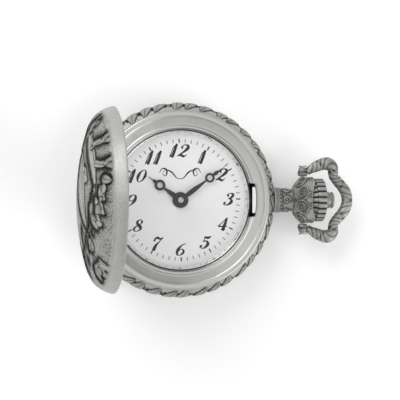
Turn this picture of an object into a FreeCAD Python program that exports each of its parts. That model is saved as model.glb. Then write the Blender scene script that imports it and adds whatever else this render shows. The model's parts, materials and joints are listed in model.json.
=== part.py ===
import FreeCAD, Part
import Sketcher
import math
import os

# A hunter pocket watch with a quartz movement, lying on its back with the lid standing open.
# Millimetres.  +Z points out of the dial, +Y to 12 o'clock, +X along the pendant, and the
# origin is the centre of the flat of the back cover.

# ---------------------------------------------------------------- driving dimensions
SIZES = {
    # case
    "bezel_radius": 16.6,
    "band_radius": 18.0,
    "band_bore": 14.3,
    "seat_height": 9.4,
    "band_bottom": 2.25,
    "band_shoulder": 3.0,
    "band_top": 8.7,
    "band_waist": 16.4,
    "rest_radius": 11.2,
    "cover_radius": 16.3,
    "cover_wall": 0.7,
    "cover_edge": 2.95,
    # lid
    "lid_radius": 16.35,
    "lid_shoulder": 13.0,
    "lid_shoulder_rise": 3.95,
    "lid_rise": 5.9,
    "lid_wall": 0.75,
    "lid_gap": 0.05,
    "lid_angle": 88.0,
    "hinge_across": 16.6,
    "hinge_lift": 0.9,
    "knuckle_radius": 0.75,
    "knuckle_length": 2.6,
    "knuckle_gap": 0.06,
    "hinge_pin_radius": 0.35,
    # glass and dial
    "crystal_radius": 12.95,
    "crystal_bottom": 8.5,
    "crystal_edge": 0.45,
    "crystal_rise": 0.7,
    "window_radius": 12.2,
    "dial_radius": 12.9,
    "dial_top": 7.45,
    "dial_thickness": 0.4,
    "hour_hand_height": 7.72,
    "minute_hand_height": 8.02,
    "hand_thickness": 0.12,
    "hour_hand_reach": 7.4,
    "minute_hand_reach": 11.0,
    # pendant, crown and bow
    "pendant_height": 5.4,
    "neck_radius": 2.1,
    "collar_radius": 2.32,
    "collar_end": 19.1,
    "neck_end": 21.7,
    "cup_radius": 4.4,
    "cup_lip": 25.8,
    "cup_wall": 0.5,
    "crown_radius": 4.1,
    "crown_start": 24.75,
    "crown_end": 27.8,
    "crown_flutes": 22,
    "button_radius": 1.6,
    "button_end": 29.9,
    "rod_radius": 0.6,
    "sleeve_radius": 1.0,
    "bow_pivot": 23.9,
    "bow_wire": 0.85,
    "bow_end": 32.6,
    # movement
    "plate_radius": 11.0,
    "plate_bottom": 4.8,
    "plate_thickness": 1.2,
    "bridge_bottom": 2.2,
    "bridge_thickness": 0.6,
    "gear_module": 0.12,
    "wheel_face": 0.2,
    "pinion_face": 0.3,
    "arbor_radius": 0.16,
    "pivot_radius": 0.1,
    "cell_radius": 3.4,
    "cell_height": 2.6,
    "stem_radius": 0.45,
}

# places of the movement's pieces on the plate, as (x, y)
CENTRE = (0.0, 0.0)
CELL_PLACE = (-3.9, 6.0)
BRIDGE_SCREWS = ((3.4, 1.8), (-6.2, 1.0), (-6.6, -4.6))
STATOR_SCREWS = ((-5.0, -6.6), (5.0, -6.6))

# teeth of the train and of the motion work
CENTRE_TEETH, THIRD_PINION = 48, 8
THIRD_TEETH, FIFTH_PINION = 40, 8
FIFTH_TEETH, ROTOR_PINION = 24, 8
CANNON_TEETH, MINUTE_TEETH = 12, 36
MINUTE_PINION, HOUR_TEETH = 10, 40
SETTING_TEETH = 16

# directions from one arbor to the next, in degrees
THIRD_DIRECTION = 200.0
FIFTH_DIRECTION = 250.0
ROTOR_DIRECTION = 290.0
MINUTE_DIRECTION = 20.0
SETTING_DIRECTION = -20.0


class Size:
    """A length that remembers the sheet expression it comes from."""

    def __init__(self, value, text):
        self.value = float(value)
        self.text = text

    def __add__(self, other):
        other = size(other)
        return Size(self.value + other.value, "(%s + %s)" % (self.text, other.text))

    def __radd__(self, other):
        return size(other) + self

    def __sub__(self, other):
        other = size(other)
        return Size(self.value - other.value, "(%s - %s)" % (self.text, other.text))

    def __rsub__(self, other):
        return size(other) - self

    def __mul__(self, factor):
        return Size(self.value * factor, "(%s * %.6f)" % (self.text, factor))

    def __neg__(self):
        return Size(-self.value, "(0 - %s)" % self.text)


def size(number):
    """Any number as a Size."""
    if isinstance(number, Size):
        return number
    return Size(number, "(%.6f)" % number)


doc = FreeCAD.newDocument("hunter_watch")
sheet = doc.addObject("Spreadsheet::Sheet", "Sizes")
for row, (alias, number) in enumerate(SIZES.items(), start=1):
    sheet.set("A%d" % row, alias)
    sheet.set("B%d" % row, str(number))
    sheet.setAlias("B%d" % row, alias)
doc.recompute()


class Named:
    """The sheet's cells as attributes."""


S = Named()
for alias in SIZES:
    setattr(S, alias, Size(getattr(sheet, alias), "Sizes.%s" % alias))

lid_plane = S.seat_height + S.lid_gap
hinge_height = S.seat_height + S.hinge_lift
dial_bottom = S.dial_top - S.dial_thickness
plate_top = S.plate_bottom + S.plate_thickness


def cap_radius(across, rise):
    """The radius of an arc that is level at the axis and drops by rise at across."""
    across, rise = size(across), size(rise)
    value = (across.value ** 2 + rise.value ** 2) / (2.0 * rise.value)
    text = "((%s ^ 2 + %s ^ 2) / (2 * %s))" % (across.text, rise.text, rise.text)
    return Size(value, text)


def bind(obj, prop, length):
    """Give a property its value and tie it to the sheet."""
    obj.setExpression(prop, size(length).text)


# ---------------------------------------------------------------- sketch helpers
def new_body(label):
    """An empty body with its node name."""
    body = doc.addObject("PartDesign::Body", label)
    body.Label = label
    return body


def origin_feature(body, role):
    """An origin plane or axis of a body, found by its role."""
    for feature in body.Origin.OriginFeatures:
        if feature.Role == role:
            return feature
    raise ValueError(role)


def new_sketch(body, plane, offset=0.0):
    """A sketch on one of the body's origin planes, moved along the plane's normal."""
    sketch = body.newObject("Sketcher::SketchObject", body.Label + "_sketch")
    sketch.AttachmentSupport = [(origin_feature(body, plane), "")]
    sketch.MapMode = "FlatFace"
    bind(sketch, "AttachmentOffset.Base.z", offset)
    return sketch


def tie(sketch, kind, length, *places):
    """Add one dimension to a sketch and tie it to the sheet."""
    length = size(length)
    number = sketch.addConstraint(Sketcher.Constraint(kind, *places, length.value))
    sketch.setExpression("Constraints[%d]" % number, length.text)


def tie_point(sketch, geometry, end, across, up):
    """Hold a point of a sketch at a place measured from its origin."""
    if size(across).value == 0.0:
        sketch.addConstraint(Sketcher.Constraint("PointOnObject", geometry, end, -2))
    else:
        tie(sketch, "DistanceX", across, -1, 1, geometry, end)
    if size(up).value == 0.0:
        sketch.addConstraint(Sketcher.Constraint("PointOnObject", geometry, end, -1))
    else:
        tie(sketch, "DistanceY", up, -1, 1, geometry, end)


def arc_between(start, end, radius):
    """The arc from start to end; a positive radius turns left, a negative one right."""
    chord = end.sub(start)
    half = chord.Length / 2.0
    height = math.sqrt(max(radius * radius - half * half, 0.0))
    side = FreeCAD.Vector(-chord.y, chord.x, 0).normalize()
    turn = 1.0 if radius > 0 else -1.0
    centre = start.add(chord.multiply(0.5)).add(side.multiply(turn * height))
    first, last = (start, end) if radius > 0 else (end, start)
    from_angle = math.atan2(first.y - centre.y, first.x - centre.x)
    to_angle = math.atan2(last.y - centre.y, last.x - centre.x)
    circle = Part.Circle(centre, FreeCAD.Vector(0, 0, 1), abs(radius))
    return Part.ArcOfCircle(circle, from_angle, to_angle)


def draw_path(sketch, corners, closed=True):
    """Draw edges through corners given as (across, up) or (across, up, radius of the next edge)."""
    edges = []
    count = len(corners) if closed else len(corners) - 1
    for index in range(count):
        corner = corners[index]
        after = corners[(index + 1) % len(corners)]
        start = FreeCAD.Vector(size(corner[0]).value, size(corner[1]).value, 0)
        end = FreeCAD.Vector(size(after[0]).value, size(after[1]).value, 0)
        if len(corner) == 3:
            radius = size(corner[2])
            geometry = sketch.addGeometry(arc_between(start, end, radius.value), False)
            ends = (1, 2) if radius.value > 0 else (2, 1)
            tie(sketch, "Radius", radius if radius.value > 0 else -radius, geometry)
        else:
            geometry = sketch.addGeometry(Part.LineSegment(start, end), False)
            ends = (1, 2)
        edges.append((geometry, ends))
        tie_point(sketch, geometry, ends[0], corner[0], corner[1])
    for index in range(len(edges) if closed else len(edges) - 1):
        here, after = edges[index], edges[(index + 1) % len(edges)]
        sketch.addConstraint(Sketcher.Constraint("Coincident", here[0], here[1][1], after[0], after[1][0]))
    if not closed:
        tie_point(sketch, edges[-1][0], edges[-1][1][1], corners[-1][0], corners[-1][1])


def draw_circle(sketch, radius, across=0.0, up=0.0):
    """Draw a full circle."""
    centre = FreeCAD.Vector(size(across).value, size(up).value, 0)
    circle = Part.Circle(centre, FreeCAD.Vector(0, 0, 1), size(radius).value)
    geometry = sketch.addGeometry(circle, False)
    tie(sketch, "Radius", radius, geometry)
    tie_point(sketch, geometry, 3, across, up)


def rectangle(low_x, low_y, high_x, high_y):
    """The four corners of a rectangle."""
    return [(low_x, low_y), (high_x, low_y), (high_x, high_y), (low_x, high_y)]


# ---------------------------------------------------------------- feature helpers
def pad(body, sketch, length):
    """Raise a sketch by a length."""
    feature = body.newObject("PartDesign::Pad", body.Label + "_pad")
    feature.Profile = sketch
    bind(feature, "Length", length)
    sketch.Visibility = False
    return feature


def pad_both(body, sketch, length):
    """Raise a sketch by half a length each way."""
    feature = pad(body, sketch, length)
    feature.SideType = "Symmetric"
    return feature


def pocket(body, sketch, length, reverse=False):
    """Cut a sketch downwards, or upwards when reversed, and make sure that it does cut."""
    doc.recompute()
    before = body.Shape.Volume
    feature = body.newObject("PartDesign::Pocket", body.Label + "_pocket")
    feature.Profile = sketch
    bind(feature, "Length", length)
    feature.Reversed = reverse
    doc.recompute()
    if body.Shape.Volume > before - 1e-6:
        raise ValueError("%s: the pocket cuts nothing" % body.Label)
    return feature


def turn(body, sketch, axis="V_Axis"):
    """Turn a sketch a full circle about one of its own axes."""
    feature = body.newObject("PartDesign::Revolution", body.Label + "_turned")
    feature.Profile = sketch
    feature.ReferenceAxis = (sketch, [axis])
    feature.Angle = 360.0
    return feature


def turned(label, corners):
    """A body turned about the watch's own axis from an outline of (radius, height)."""
    body = new_body(label)
    sketch = new_sketch(body, "XZ_Plane")
    draw_path(sketch, corners)
    turn(body, sketch)
    return body


def turned_on_pendant(label, corners):
    """A body turned about the pendant's axis from an outline of (x, radius)."""
    body = new_body(label)
    bind(body, "Placement.Base.z", S.pendant_height)
    sketch = new_sketch(body, "XZ_Plane")
    draw_path(sketch, corners)
    turn(body, sketch, "H_Axis")
    return body


def plate(label, corners, bottom, thickness):
    """A flat plate from an outline of (x, y)."""
    body = new_body(label)
    sketch = new_sketch(body, "XY_Plane", bottom)
    draw_path(sketch, corners)
    pad(body, sketch, thickness)
    return body


def disc(body, radius, bottom, thickness, place=CENTRE):
    """Add a round disc to a body."""
    sketch = new_sketch(body, "XY_Plane", bottom)
    draw_circle(sketch, radius, place[0], place[1])
    return pad(body, sketch, thickness)


def drill(body, radius, bottom, depth, place=CENTRE):
    """Cut a round hole upwards from a height."""
    sketch = new_sketch(body, "XY_Plane", bottom)
    draw_circle(sketch, radius, place[0], place[1])
    return pocket(body, sketch, depth, reverse=True)


def cut_outline(body, corners, bottom, depth):
    """Cut an outline of (x, y) upwards from a height."""
    sketch = new_sketch(body, "XY_Plane", bottom)
    draw_path(sketch, corners)
    return pocket(body, sketch, depth, reverse=True)


def cut_box(body, low, high):
    """Cut a box between two corners."""
    outline = rectangle(low[0], low[1], high[0], high[1])
    return cut_outline(body, outline, low[2], size(high[2]) - low[2])


def repeat_around(body, features, count):
    """Repeat features around the body's own Z axis."""
    pattern = body.newObject("PartDesign::PolarPattern", body.Label + "_pattern")
    pattern.Originals = features
    pattern.Axis = (origin_feature(body, "Z_Axis"), [""])
    pattern.Angle = 360.0
    pattern.Occurrences = count
    body.Tip = pattern
    return pattern


ADDENDUM, DEDENDUM = 0.72, 1.15
TOOTH_AT_ROOT, TOOTH_AT_TIP = 0.52, 0.16


def add_teeth(body, teeth, pitch_radius, bottom, face):
    """A toothed disc with a tooth pointing along the body's own +X."""
    module = pitch_radius * (2.0 / teeth)
    root = pitch_radius - module * DEDENDUM
    tip = pitch_radius + module * ADDENDUM
    disc(body, root, bottom, face)
    half_root = module * (math.pi / 2.0 * TOOTH_AT_ROOT)
    half_tip = module * (math.pi / 2.0 * TOOTH_AT_TIP)
    inside = root - module * 0.5
    sketch = new_sketch(body, "XY_Plane", bottom)
    draw_path(sketch, [(inside, -half_root), (root, -half_root), (tip, -half_tip),
                       (tip, half_tip), (root, half_root), (inside, half_root)])
    tooth = pad(body, sketch, face)
    repeat_around(body, [tooth], teeth)


def set_down(body, place, phase=0.0):
    """Move a body to its place on the plate and turn it so that its mesh is right."""
    axis = FreeCAD.Vector(0, 0, 1)
    body.Placement = FreeCAD.Placement(FreeCAD.Vector(place[0], place[1], 0), FreeCAD.Rotation(axis, phase))


def step_from(place, distance, direction):
    """The place at a distance and direction from another."""
    angle = math.radians(direction)
    return (place[0] + distance * math.cos(angle), place[1] + distance * math.sin(angle))


def facing_gap(direction, teeth):
    """The turn that puts a gap of the driven wheel against the tooth pointing at it."""
    return direction + 180.0 + 180.0 / teeth


def centre_distance(wheel_teeth, pinion_teeth):
    """The distance between two arbors of the train."""
    return S.gear_module.value * (wheel_teeth + pinion_teeth) / 2.0


third_place = step_from(CENTRE, centre_distance(CENTRE_TEETH, THIRD_PINION), THIRD_DIRECTION)
fifth_place = step_from(third_place, centre_distance(THIRD_TEETH, FIFTH_PINION), FIFTH_DIRECTION)
rotor_place = step_from(fifth_place, centre_distance(FIFTH_TEETH, ROTOR_PINION), ROTOR_DIRECTION)
motion_distance = centre_distance(CANNON_TEETH, MINUTE_TEETH)
minute_place = step_from(CENTRE, motion_distance, MINUTE_DIRECTION)
setting_place = step_from(minute_place, centre_distance(MINUTE_TEETH, SETTING_TEETH), SETTING_DIRECTION)


def pitch(teeth):
    """The pitch radius of a wheel of the train."""
    return S.gear_module * (teeth / 2.0)


def rod_on_y(label, radius, length, across, height, middle=0.0):
    """A round rod along Y, centred on a point."""
    rod = doc.addObject("Part::Cylinder", label)
    rod.Label = label
    bind(rod, "Radius", radius)
    bind(rod, "Height", length)
    start = middle - size(length).value / 2.0
    turn_down = FreeCAD.Rotation(FreeCAD.Vector(1, 0, 0), -90)
    rod.Placement = FreeCAD.Placement(FreeCAD.Vector(size(across).value, start, size(height).value), turn_down)
    return rod


def simple_screw(shape_list, place, head_bottom, head_radius, head_height, shank_radius, shank_length):
    """Add one slotted screw whose head hangs below its shank."""
    base = FreeCAD.Vector(place[0], place[1], head_bottom)
    head = Part.makeCylinder(head_radius, head_height, base)
    slot_width, slot_depth = head_radius * 0.3, head_height * 0.5
    slot = Part.makeBox(head_radius * 3, slot_width, slot_depth,
                        base.add(FreeCAD.Vector(-head_radius * 1.5, -slot_width / 2, 0)))
    shank = Part.makeCylinder(shank_radius, shank_length, base.add(FreeCAD.Vector(0, 0, head_height)))
    shape_list.append(head.cut(slot).fuse(shank).removeSplitter())


def feature_from(label, shapes):
    """A sub-part whose shape is made directly, as one or more solids."""
    feature = doc.addObject("Part::Feature", label)
    feature.Label = label
    feature.Shape = shapes[0] if len(shapes) == 1 else Part.makeCompound(shapes)
    return feature


# ---------------------------------------------------------------- case
KNUCKLE_PITCH = S.knuckle_length + S.knuckle_gap


def make_case_band():
    """The middle of the case: a bulging ring with the hinge's two outer knuckles."""
    lower_bulge, upper_bulge = 3.6, 3.4
    widest = 6.0
    band = turned("case_band", [
        (S.band_bore, S.band_bottom),
        (S.band_waist - 0.95, S.band_bottom),
        (S.band_waist - 0.95, S.band_shoulder),
        (S.band_waist, S.band_shoulder, lower_bulge),
        (S.band_radius, widest, upper_bulge),
        (S.bezel_radius + 0.15, S.band_top),
        (S.band_bore, S.band_top),
    ])
    # bore of the pendant
    sketch = new_sketch(band, "YZ_Plane", S.band_bore - 2)
    draw_circle(sketch, S.neck_radius - 0.25, 0.0, S.pendant_height)
    pocket(band, sketch, S.band_radius - S.band_bore + 3, reverse=True)
    # uprights and knuckles of the hinge
    upright_thickness = 0.7
    for side in (-1, 1):
        middle = KNUCKLE_PITCH * side
        low = middle - S.knuckle_length * 0.5
        sketch = new_sketch(band, "XY_Plane", S.band_top - 1.6)
        outer = -(S.hinge_across + S.knuckle_radius)
        draw_path(sketch, rectangle(outer, low, outer + upright_thickness, low + S.knuckle_length))
        pad(band, sketch, hinge_height - S.band_top + 1.6)
        sketch = new_sketch(band, "XZ_Plane", -middle)
        draw_circle(sketch, S.knuckle_radius, -S.hinge_across, hinge_height)
        pad_both(band, sketch, S.knuckle_length)
    sketch = new_sketch(band, "XZ_Plane")
    draw_circle(sketch, S.hinge_pin_radius, -S.hinge_across, hinge_height)
    doc.recompute()
    bore = pocket(band, sketch, S.knuckle_length * 4)
    bore.SideType = "Symmetric"
    return band


def make_bezel_ring():
    """The ring round the glass: flat outer land, sloping shelf, raised bead and catch window."""
    top = S.seat_height
    bezel = turned("bezel_ring", [
        (S.bezel_radius, S.band_top),
        (S.bezel_radius, top - 0.12),
        (S.bezel_radius - 0.12, top),
        (S.bezel_radius - 0.9, top),
        (S.bezel_radius - 1.02, top - 0.14),
        (S.bezel_radius - 2.7, top - 0.5),
        (S.bezel_radius - 2.77, top - 0.3),
        (S.bezel_radius - 3.24, top - 0.3),
        (S.bezel_radius - 3.3, top - 0.6),
        (S.bezel_radius - 3.5, top - 0.7),
        (S.bezel_radius - 3.5, top - 1.4),
        (S.band_bore - 0.02, top - 1.4),
        (S.band_bore - 0.02, S.band_top),
    ])
    half_width, inner_edge, outer_edge = 3.1, 13.0, 14.2
    corner = math.sqrt(outer_edge ** 2 - half_width ** 2)
    cut_outline(bezel, [(inner_edge, -half_width), (corner, -half_width, outer_edge),
                        (corner, half_width), (inner_edge, half_width)], top - 1.6, 2.0)
    return bezel


def make_back_cover():
    """The snap-on back: a shallow dish with a flat that the watch rests on."""
    inner = S.cover_radius - S.cover_wall
    shoulder = size(2.3)
    cover = turned("back_cover", [
        (0.0, 0.0),
        (S.rest_radius, 0.0, 8.0),
        (S.cover_radius, shoulder),
        (S.cover_radius, S.cover_edge),
        (inner - 0.1, S.cover_edge),
        (inner - 0.1, S.band_bottom - 0.06),
        (S.rest_radius, S.cover_wall),
        (0.0, S.cover_wall),
    ])
    return cover


def make_back_gasket():
    """The rubber ring between the band's spigot and the back cover."""
    middle = S.band_bore + 0.35
    half_width, thickness = 0.22, 0.22
    return turned("back_gasket", [
        (middle - half_width, S.band_bottom - thickness),
        (middle + half_width, S.band_bottom - thickness),
        (middle + half_width, S.band_bottom),
        (middle - half_width, S.band_bottom),
    ])


def make_front_lid():
    """The sprung lid: a deep dome with one knuckle, drawn closed and then swung open."""
    inner_radius = S.lid_radius - S.lid_wall
    inner_shoulder = S.lid_shoulder - 0.35
    top_drop = S.lid_rise - S.lid_shoulder_rise
    side_arc = 4.80
    inner_side_arc = 4.38
    base = lid_plane
    lid = turned("front_lid", [
        (inner_radius, base),
        (S.lid_radius, base, side_arc),
        (S.lid_shoulder, base + S.lid_shoulder_rise, cap_radius(S.lid_shoulder, top_drop)),
        (0.0, base + S.lid_rise),
        (0.0, base + S.lid_rise - S.lid_wall, -cap_radius(inner_shoulder, top_drop)),
        (inner_shoulder, base + S.lid_shoulder_rise - S.lid_wall, -inner_side_arc),
    ])
    # room for the band's knuckles, then the lid's own knuckle and its web
    room = S.knuckle_radius + 0.2
    half_room = KNUCKLE_PITCH * 1.5 + 0.1
    sketch = new_sketch(lid, "XZ_Plane")
    draw_circle(sketch, room, -S.hinge_across, hinge_height)
    doc.recompute()
    notch = pocket(lid, sketch, half_room * 2)
    notch.SideType = "Symmetric"
    sketch = new_sketch(lid, "XZ_Plane")
    draw_circle(sketch, S.knuckle_radius, -S.hinge_across, hinge_height)
    pad_both(lid, sketch, S.knuckle_length)
    sketch = new_sketch(lid, "XZ_Plane")
    web_reach = 1.15
    web_half = 0.35
    web_bottom, web_top = hinge_height - web_half, hinge_height + web_half
    draw_path(sketch, rectangle(-S.hinge_across, web_bottom, -S.hinge_across + web_reach, web_top))
    pad_both(lid, sketch, S.knuckle_length)
    sketch = new_sketch(lid, "XZ_Plane")
    draw_circle(sketch, S.hinge_pin_radius + 0.04, -S.hinge_across, hinge_height)
    doc.recompute()
    bore = pocket(lid, sketch, S.knuckle_length * 1.5)
    bore.SideType = "Symmetric"
    hinge = FreeCAD.Vector(-S.hinge_across.value, 0, hinge_height.value)
    swing = FreeCAD.Rotation(FreeCAD.Vector(0, -1, 0), S.lid_angle.value)
    lid.Placement = FreeCAD.Placement(FreeCAD.Vector(0, 0, 0), swing, hinge)
    return lid


def make_hinge_pin():
    """The pin through the three knuckles."""
    return rod_on_y("hinge_pin", S.hinge_pin_radius, KNUCKLE_PITCH * 3 - 0.2, -S.hinge_across, hinge_height)


SPRING_INNER, SPRING_THICKNESS = 13.84, 0.4
LIFT_SCREW, LOCK_SCREW = (125.0, 5.0), (60.0, 7.0)
SPRING_SCREW_SHANK = 0.2


def curved_strip(bottom, height, from_angle, to_angle):
    """A flat spring strip that lies against the bore of the band."""
    base = FreeCAD.Vector(0, 0, bottom)
    up = FreeCAD.Vector(0, 0, 1)
    span = to_angle - from_angle
    ring = Part.makeCylinder(SPRING_INNER + SPRING_THICKNESS, height, base, up, span)
    core = Part.makeCylinder(SPRING_INNER, height, base, up, span)
    return ring.cut(core).rotated(FreeCAD.Vector(0, 0, 0), up, from_angle)


def radial_cylinder(angle, height, radius, start, length):
    """A round bar that points outwards from the watch's axis."""
    outwards = FreeCAD.Vector(math.cos(math.radians(angle)), math.sin(math.radians(angle)), 0)
    base = FreeCAD.Vector(outwards).multiply(start).add(FreeCAD.Vector(0, 0, height))
    return Part.makeCylinder(radius, length, base, outwards)


def make_lift_spring():
    """The spring that throws the lid open, screwed to the band; its toe stands under the hinge."""
    strip = curved_strip(3.4, 3.2, 120, 186)
    toe = curved_strip(6.4, 1.5, 176, 184)
    hole = radial_cylinder(*LIFT_SCREW, SPRING_SCREW_SHANK + 0.03, SPRING_INNER - 1, 3)
    return feature_from("lift_spring", [strip.fuse(toe).cut(hole).removeSplitter()])


def make_lock_spring():
    """The spring that holds the catch out, screwed to the band."""
    strip = curved_strip(6.4, 1.2, 12.5, 66)
    hole = radial_cylinder(*LOCK_SCREW, SPRING_SCREW_SHANK + 0.03, SPRING_INNER - 1, 3)
    return feature_from("lock_spring", [strip.cut(hole)])


def make_case_spring_screws():
    """The two screws that hold the lift spring and the lock spring to the band."""
    screws = []
    for angle, height in (LIFT_SCREW, LOCK_SCREW):
        head = radial_cylinder(angle, height, 0.42, SPRING_INNER - 0.3, 0.29)
        shank = radial_cylinder(angle, height, SPRING_SCREW_SHANK, SPRING_INNER - 0.02, 1.3)
        screws.append(head.fuse(shank).removeSplitter())
    return feature_from("case_spring_screws", screws)


def make_catch():
    """The polished catch that shows in the bezel's window."""
    low, half_width, bottom, top = 13.4, 2.4, 6.7, 9.15
    outer = Part.makeCylinder(14.12, top, FreeCAD.Vector(0, 0, 0))
    block = Part.makeBox(1.5, half_width * 2, top - bottom, FreeCAD.Vector(low, -half_width, bottom))
    return feature_from("catch", [block.common(outer)])


# ---------------------------------------------------------------- glass, dial and hands
def make_inner_ring():
    """The sloping polished wall between the dial and the glass."""
    return turned("inner_ring", [
        (S.window_radius, S.dial_top),
        (S.crystal_radius, S.dial_top),
        (S.crystal_radius, S.crystal_bottom - 0.02),
        (S.window_radius + 0.6, S.crystal_bottom - 0.02),
    ])


def make_crystal():
    """The glass: a slightly domed disc with a bevelled edge."""
    bottom = S.crystal_bottom
    shoulder = S.crystal_edge + 0.1
    return turned("crystal", [
        (0.0, bottom),
        (S.crystal_radius, bottom),
        (S.crystal_radius, bottom + S.crystal_edge),
        (S.window_radius, bottom + shoulder, cap_radius(S.window_radius, S.crystal_rise - shoulder)),
        (0.0, bottom + S.crystal_rise),
    ])


def make_crystal_gasket():
    """The thin plastic ring that holds the glass in the bezel."""
    inner = S.crystal_radius + 0.01
    outer = S.bezel_radius - 3.51
    return turned("crystal_gasket", [
        (inner, S.crystal_bottom),
        (outer, S.crystal_bottom),
        (outer, S.crystal_bottom + 0.35),
        (inner, S.crystal_bottom + 0.35),
    ])


DIAL_FEET = ((0.0, 10.2), (0.0, -10.2))


def make_dial():
    """The dial plate with its two feet."""
    dial = new_body("dial")
    disc(dial, S.dial_radius, dial_bottom, S.dial_thickness)
    for foot in DIAL_FEET:
        disc(dial, 0.4, plate_top - 0.7, dial_bottom - plate_top + 0.7, foot)
    drill(dial, 1.05, dial_bottom, S.dial_thickness + 0.1)
    return dial


def make_hand(label, height, reach, hub, bore, ring_at, ring_outer, ring_hole, width):
    """A hand lying along +X with a pierced ring near its tip."""
    hand = new_body(label)
    thickness = S.hand_thickness
    disc(hand, hub, height, thickness)
    sketch = new_sketch(hand, "XY_Plane", height)
    draw_path(sketch, [(hub * 0.7, -width / 2), (ring_at - ring_outer * 0.8, -width / 3),
                       (ring_at - ring_outer * 0.8, width / 3), (hub * 0.7, width / 2)])
    pad(hand, sketch, thickness)
    disc(hand, ring_outer, height, thickness, (ring_at, 0.0))
    sketch = new_sketch(hand, "XY_Plane", height)
    tip_start = ring_at + ring_outer * 0.75
    tip_half = ring_outer * 0.62
    draw_path(sketch, [(tip_start, -tip_half), (tip_start + 0.7, -0.3), (reach, -0.05),
                       (reach, 0.05), (tip_start + 0.7, 0.3), (tip_start, tip_half)])
    pad(hand, sketch, thickness)
    drill(hand, ring_hole, height, thickness + 0.1, (ring_at, 0.0))
    drill(hand, bore, height, thickness + 0.1)
    return hand


HOUR_DIRECTION = 144.3
MINUTE_HAND_DIRECTION = 36.9


def make_hour_hand():
    """The hour hand, pressed on the pipe of the hour wheel."""
    hand = make_hand("hour_hand", S.hour_hand_height, S.hour_hand_reach, 1.48, 0.8, 4.75, 1.0, 0.55, 0.75)
    set_down(hand, CENTRE, HOUR_DIRECTION)
    return hand


def make_minute_hand():
    """The minute hand, pressed on the cannon pinion."""
    hand = make_hand("minute_hand", S.minute_hand_height, S.minute_hand_reach, 1.3, 0.52, 6.9, 0.9, 0.5, 0.62)
    set_down(hand, CENTRE, MINUTE_HAND_DIRECTION)
    return hand


# ---------------------------------------------------------------- pendant, crown and bow
def make_pendant_neck():
    """The tube from the band to the cup, with its collar."""
    bore = S.sleeve_radius + 0.06
    start = S.band_bore + 0.25
    return turned_on_pendant("pendant_neck", [
        (start, bore),
        (S.neck_end + 0.9, bore),
        (S.neck_end + 0.9, S.neck_radius - 0.5),
        (S.neck_end, S.neck_radius - 0.5),
        (S.neck_end, S.neck_radius + 0.05),
        (S.collar_end, S.neck_radius),
        (S.collar_end, S.collar_radius),
        (S.band_radius + 0.02, S.collar_radius),
        (S.band_radius + 0.02, S.neck_radius - 0.27),
        (start, S.neck_radius - 0.27),
    ])


def make_pendant_cup():
    """The flaring bell that shelters the crown and carries the bow on its two ears."""
    outer, wall = S.cup_radius, S.cup_wall
    cup = turned_on_pendant("pendant_cup", [
        (S.neck_end + 0.02, S.neck_radius - 0.48),
        (S.neck_end + 0.02, S.neck_radius + 0.15),
        (S.neck_end + 1.7, outer - 0.15),
        (S.neck_end + 2.2, outer),
        (S.cup_lip, outer),
        (S.cup_lip, outer - wall + 0.1),
        (S.neck_end + 2.5, outer - wall - 0.15),
        (S.neck_end + 1.2, S.neck_radius - 0.1),
        (S.neck_end + 1.2, S.neck_radius - 0.48),
    ])
    # the lip stands back above and below, so that two ears remain beside the crown
    scallop_radius = 7.2
    scallop_depth = size(0.95)
    sketch = new_sketch(cup, "XY_Plane")
    draw_circle(sketch, scallop_radius, S.cup_lip - scallop_depth + scallop_radius, 0.0)
    doc.recompute()
    scallop = pocket(cup, sketch, 20.0)
    scallop.SideType = "Symmetric"
    # threads of the bow screws
    sketch = new_sketch(cup, "XZ_Plane")
    draw_circle(sketch, 0.4, S.bow_pivot, 0.0)
    doc.recompute()
    hole = pocket(cup, sketch, 12.0)
    hole.SideType = "Symmetric"
    return cup


def make_crown():
    """The fluted crown with its bore for the button."""
    start, end, outer = S.crown_start, S.crown_end, S.crown_radius
    bore = S.button_radius + 0.06
    crown = turned_on_pendant("crown", [
        (start, S.sleeve_radius - 0.01),
        (start, outer - 0.75),
        (start + 1.25, outer - 0.32),
        (start + 1.45, outer),
        (end - 0.2, outer),
        (end, outer - 0.25),
        (end + 0.2, S.button_radius + 1.2),
        (end + 0.3, bore),
        (start + 0.5, bore),
        (start + 0.5, S.sleeve_radius - 0.01),
    ])
    sketch = new_sketch(crown, "YZ_Plane", start + 0.6)
    draw_circle(sketch, 0.36, outer + 0.16, 0.0)
    groove = pocket(crown, sketch, end - start, reverse=True)
    pattern = crown.newObject("PartDesign::PolarPattern", "crown_pattern")
    pattern.Originals = [groove]
    pattern.Axis = (origin_feature(crown, "X_Axis"), [""])
    pattern.Angle = 360.0
    pattern.Occurrences = int(S.crown_flutes.value)
    crown.Tip = pattern
    return crown


STEM_JOINT = 14.4
ROD_END = 15.6


def make_crown_sleeve():
    """The tube that carries the crown's turn down the pendant, slotted for the button's cross pin."""
    sleeve = turned_on_pendant("crown_sleeve", [
        (STEM_JOINT, 0.46),
        (ROD_END - 0.9, 0.46),
        (ROD_END - 0.9, S.rod_radius + 0.06),
        (S.crown_start + 0.5, S.rod_radius + 0.06),
        (S.crown_start + 0.5, S.sleeve_radius - 0.02),
        (STEM_JOINT, S.sleeve_radius - 0.02),
    ])
    return sleeve


def make_push_button():
    """The button in the end of the crown, on a rod that runs inside the sleeve."""
    cap_start = S.button_end - 2.1
    return turned_on_pendant("push_button", [
        (ROD_END, 0.0),
        (S.button_end, 0.0),
        (S.button_end, S.button_radius - 0.12),
        (S.button_end - 0.12, S.button_radius),
        (cap_start, S.button_radius),
        (cap_start, S.rod_radius),
        (ROD_END, S.rod_radius),
    ])


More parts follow.
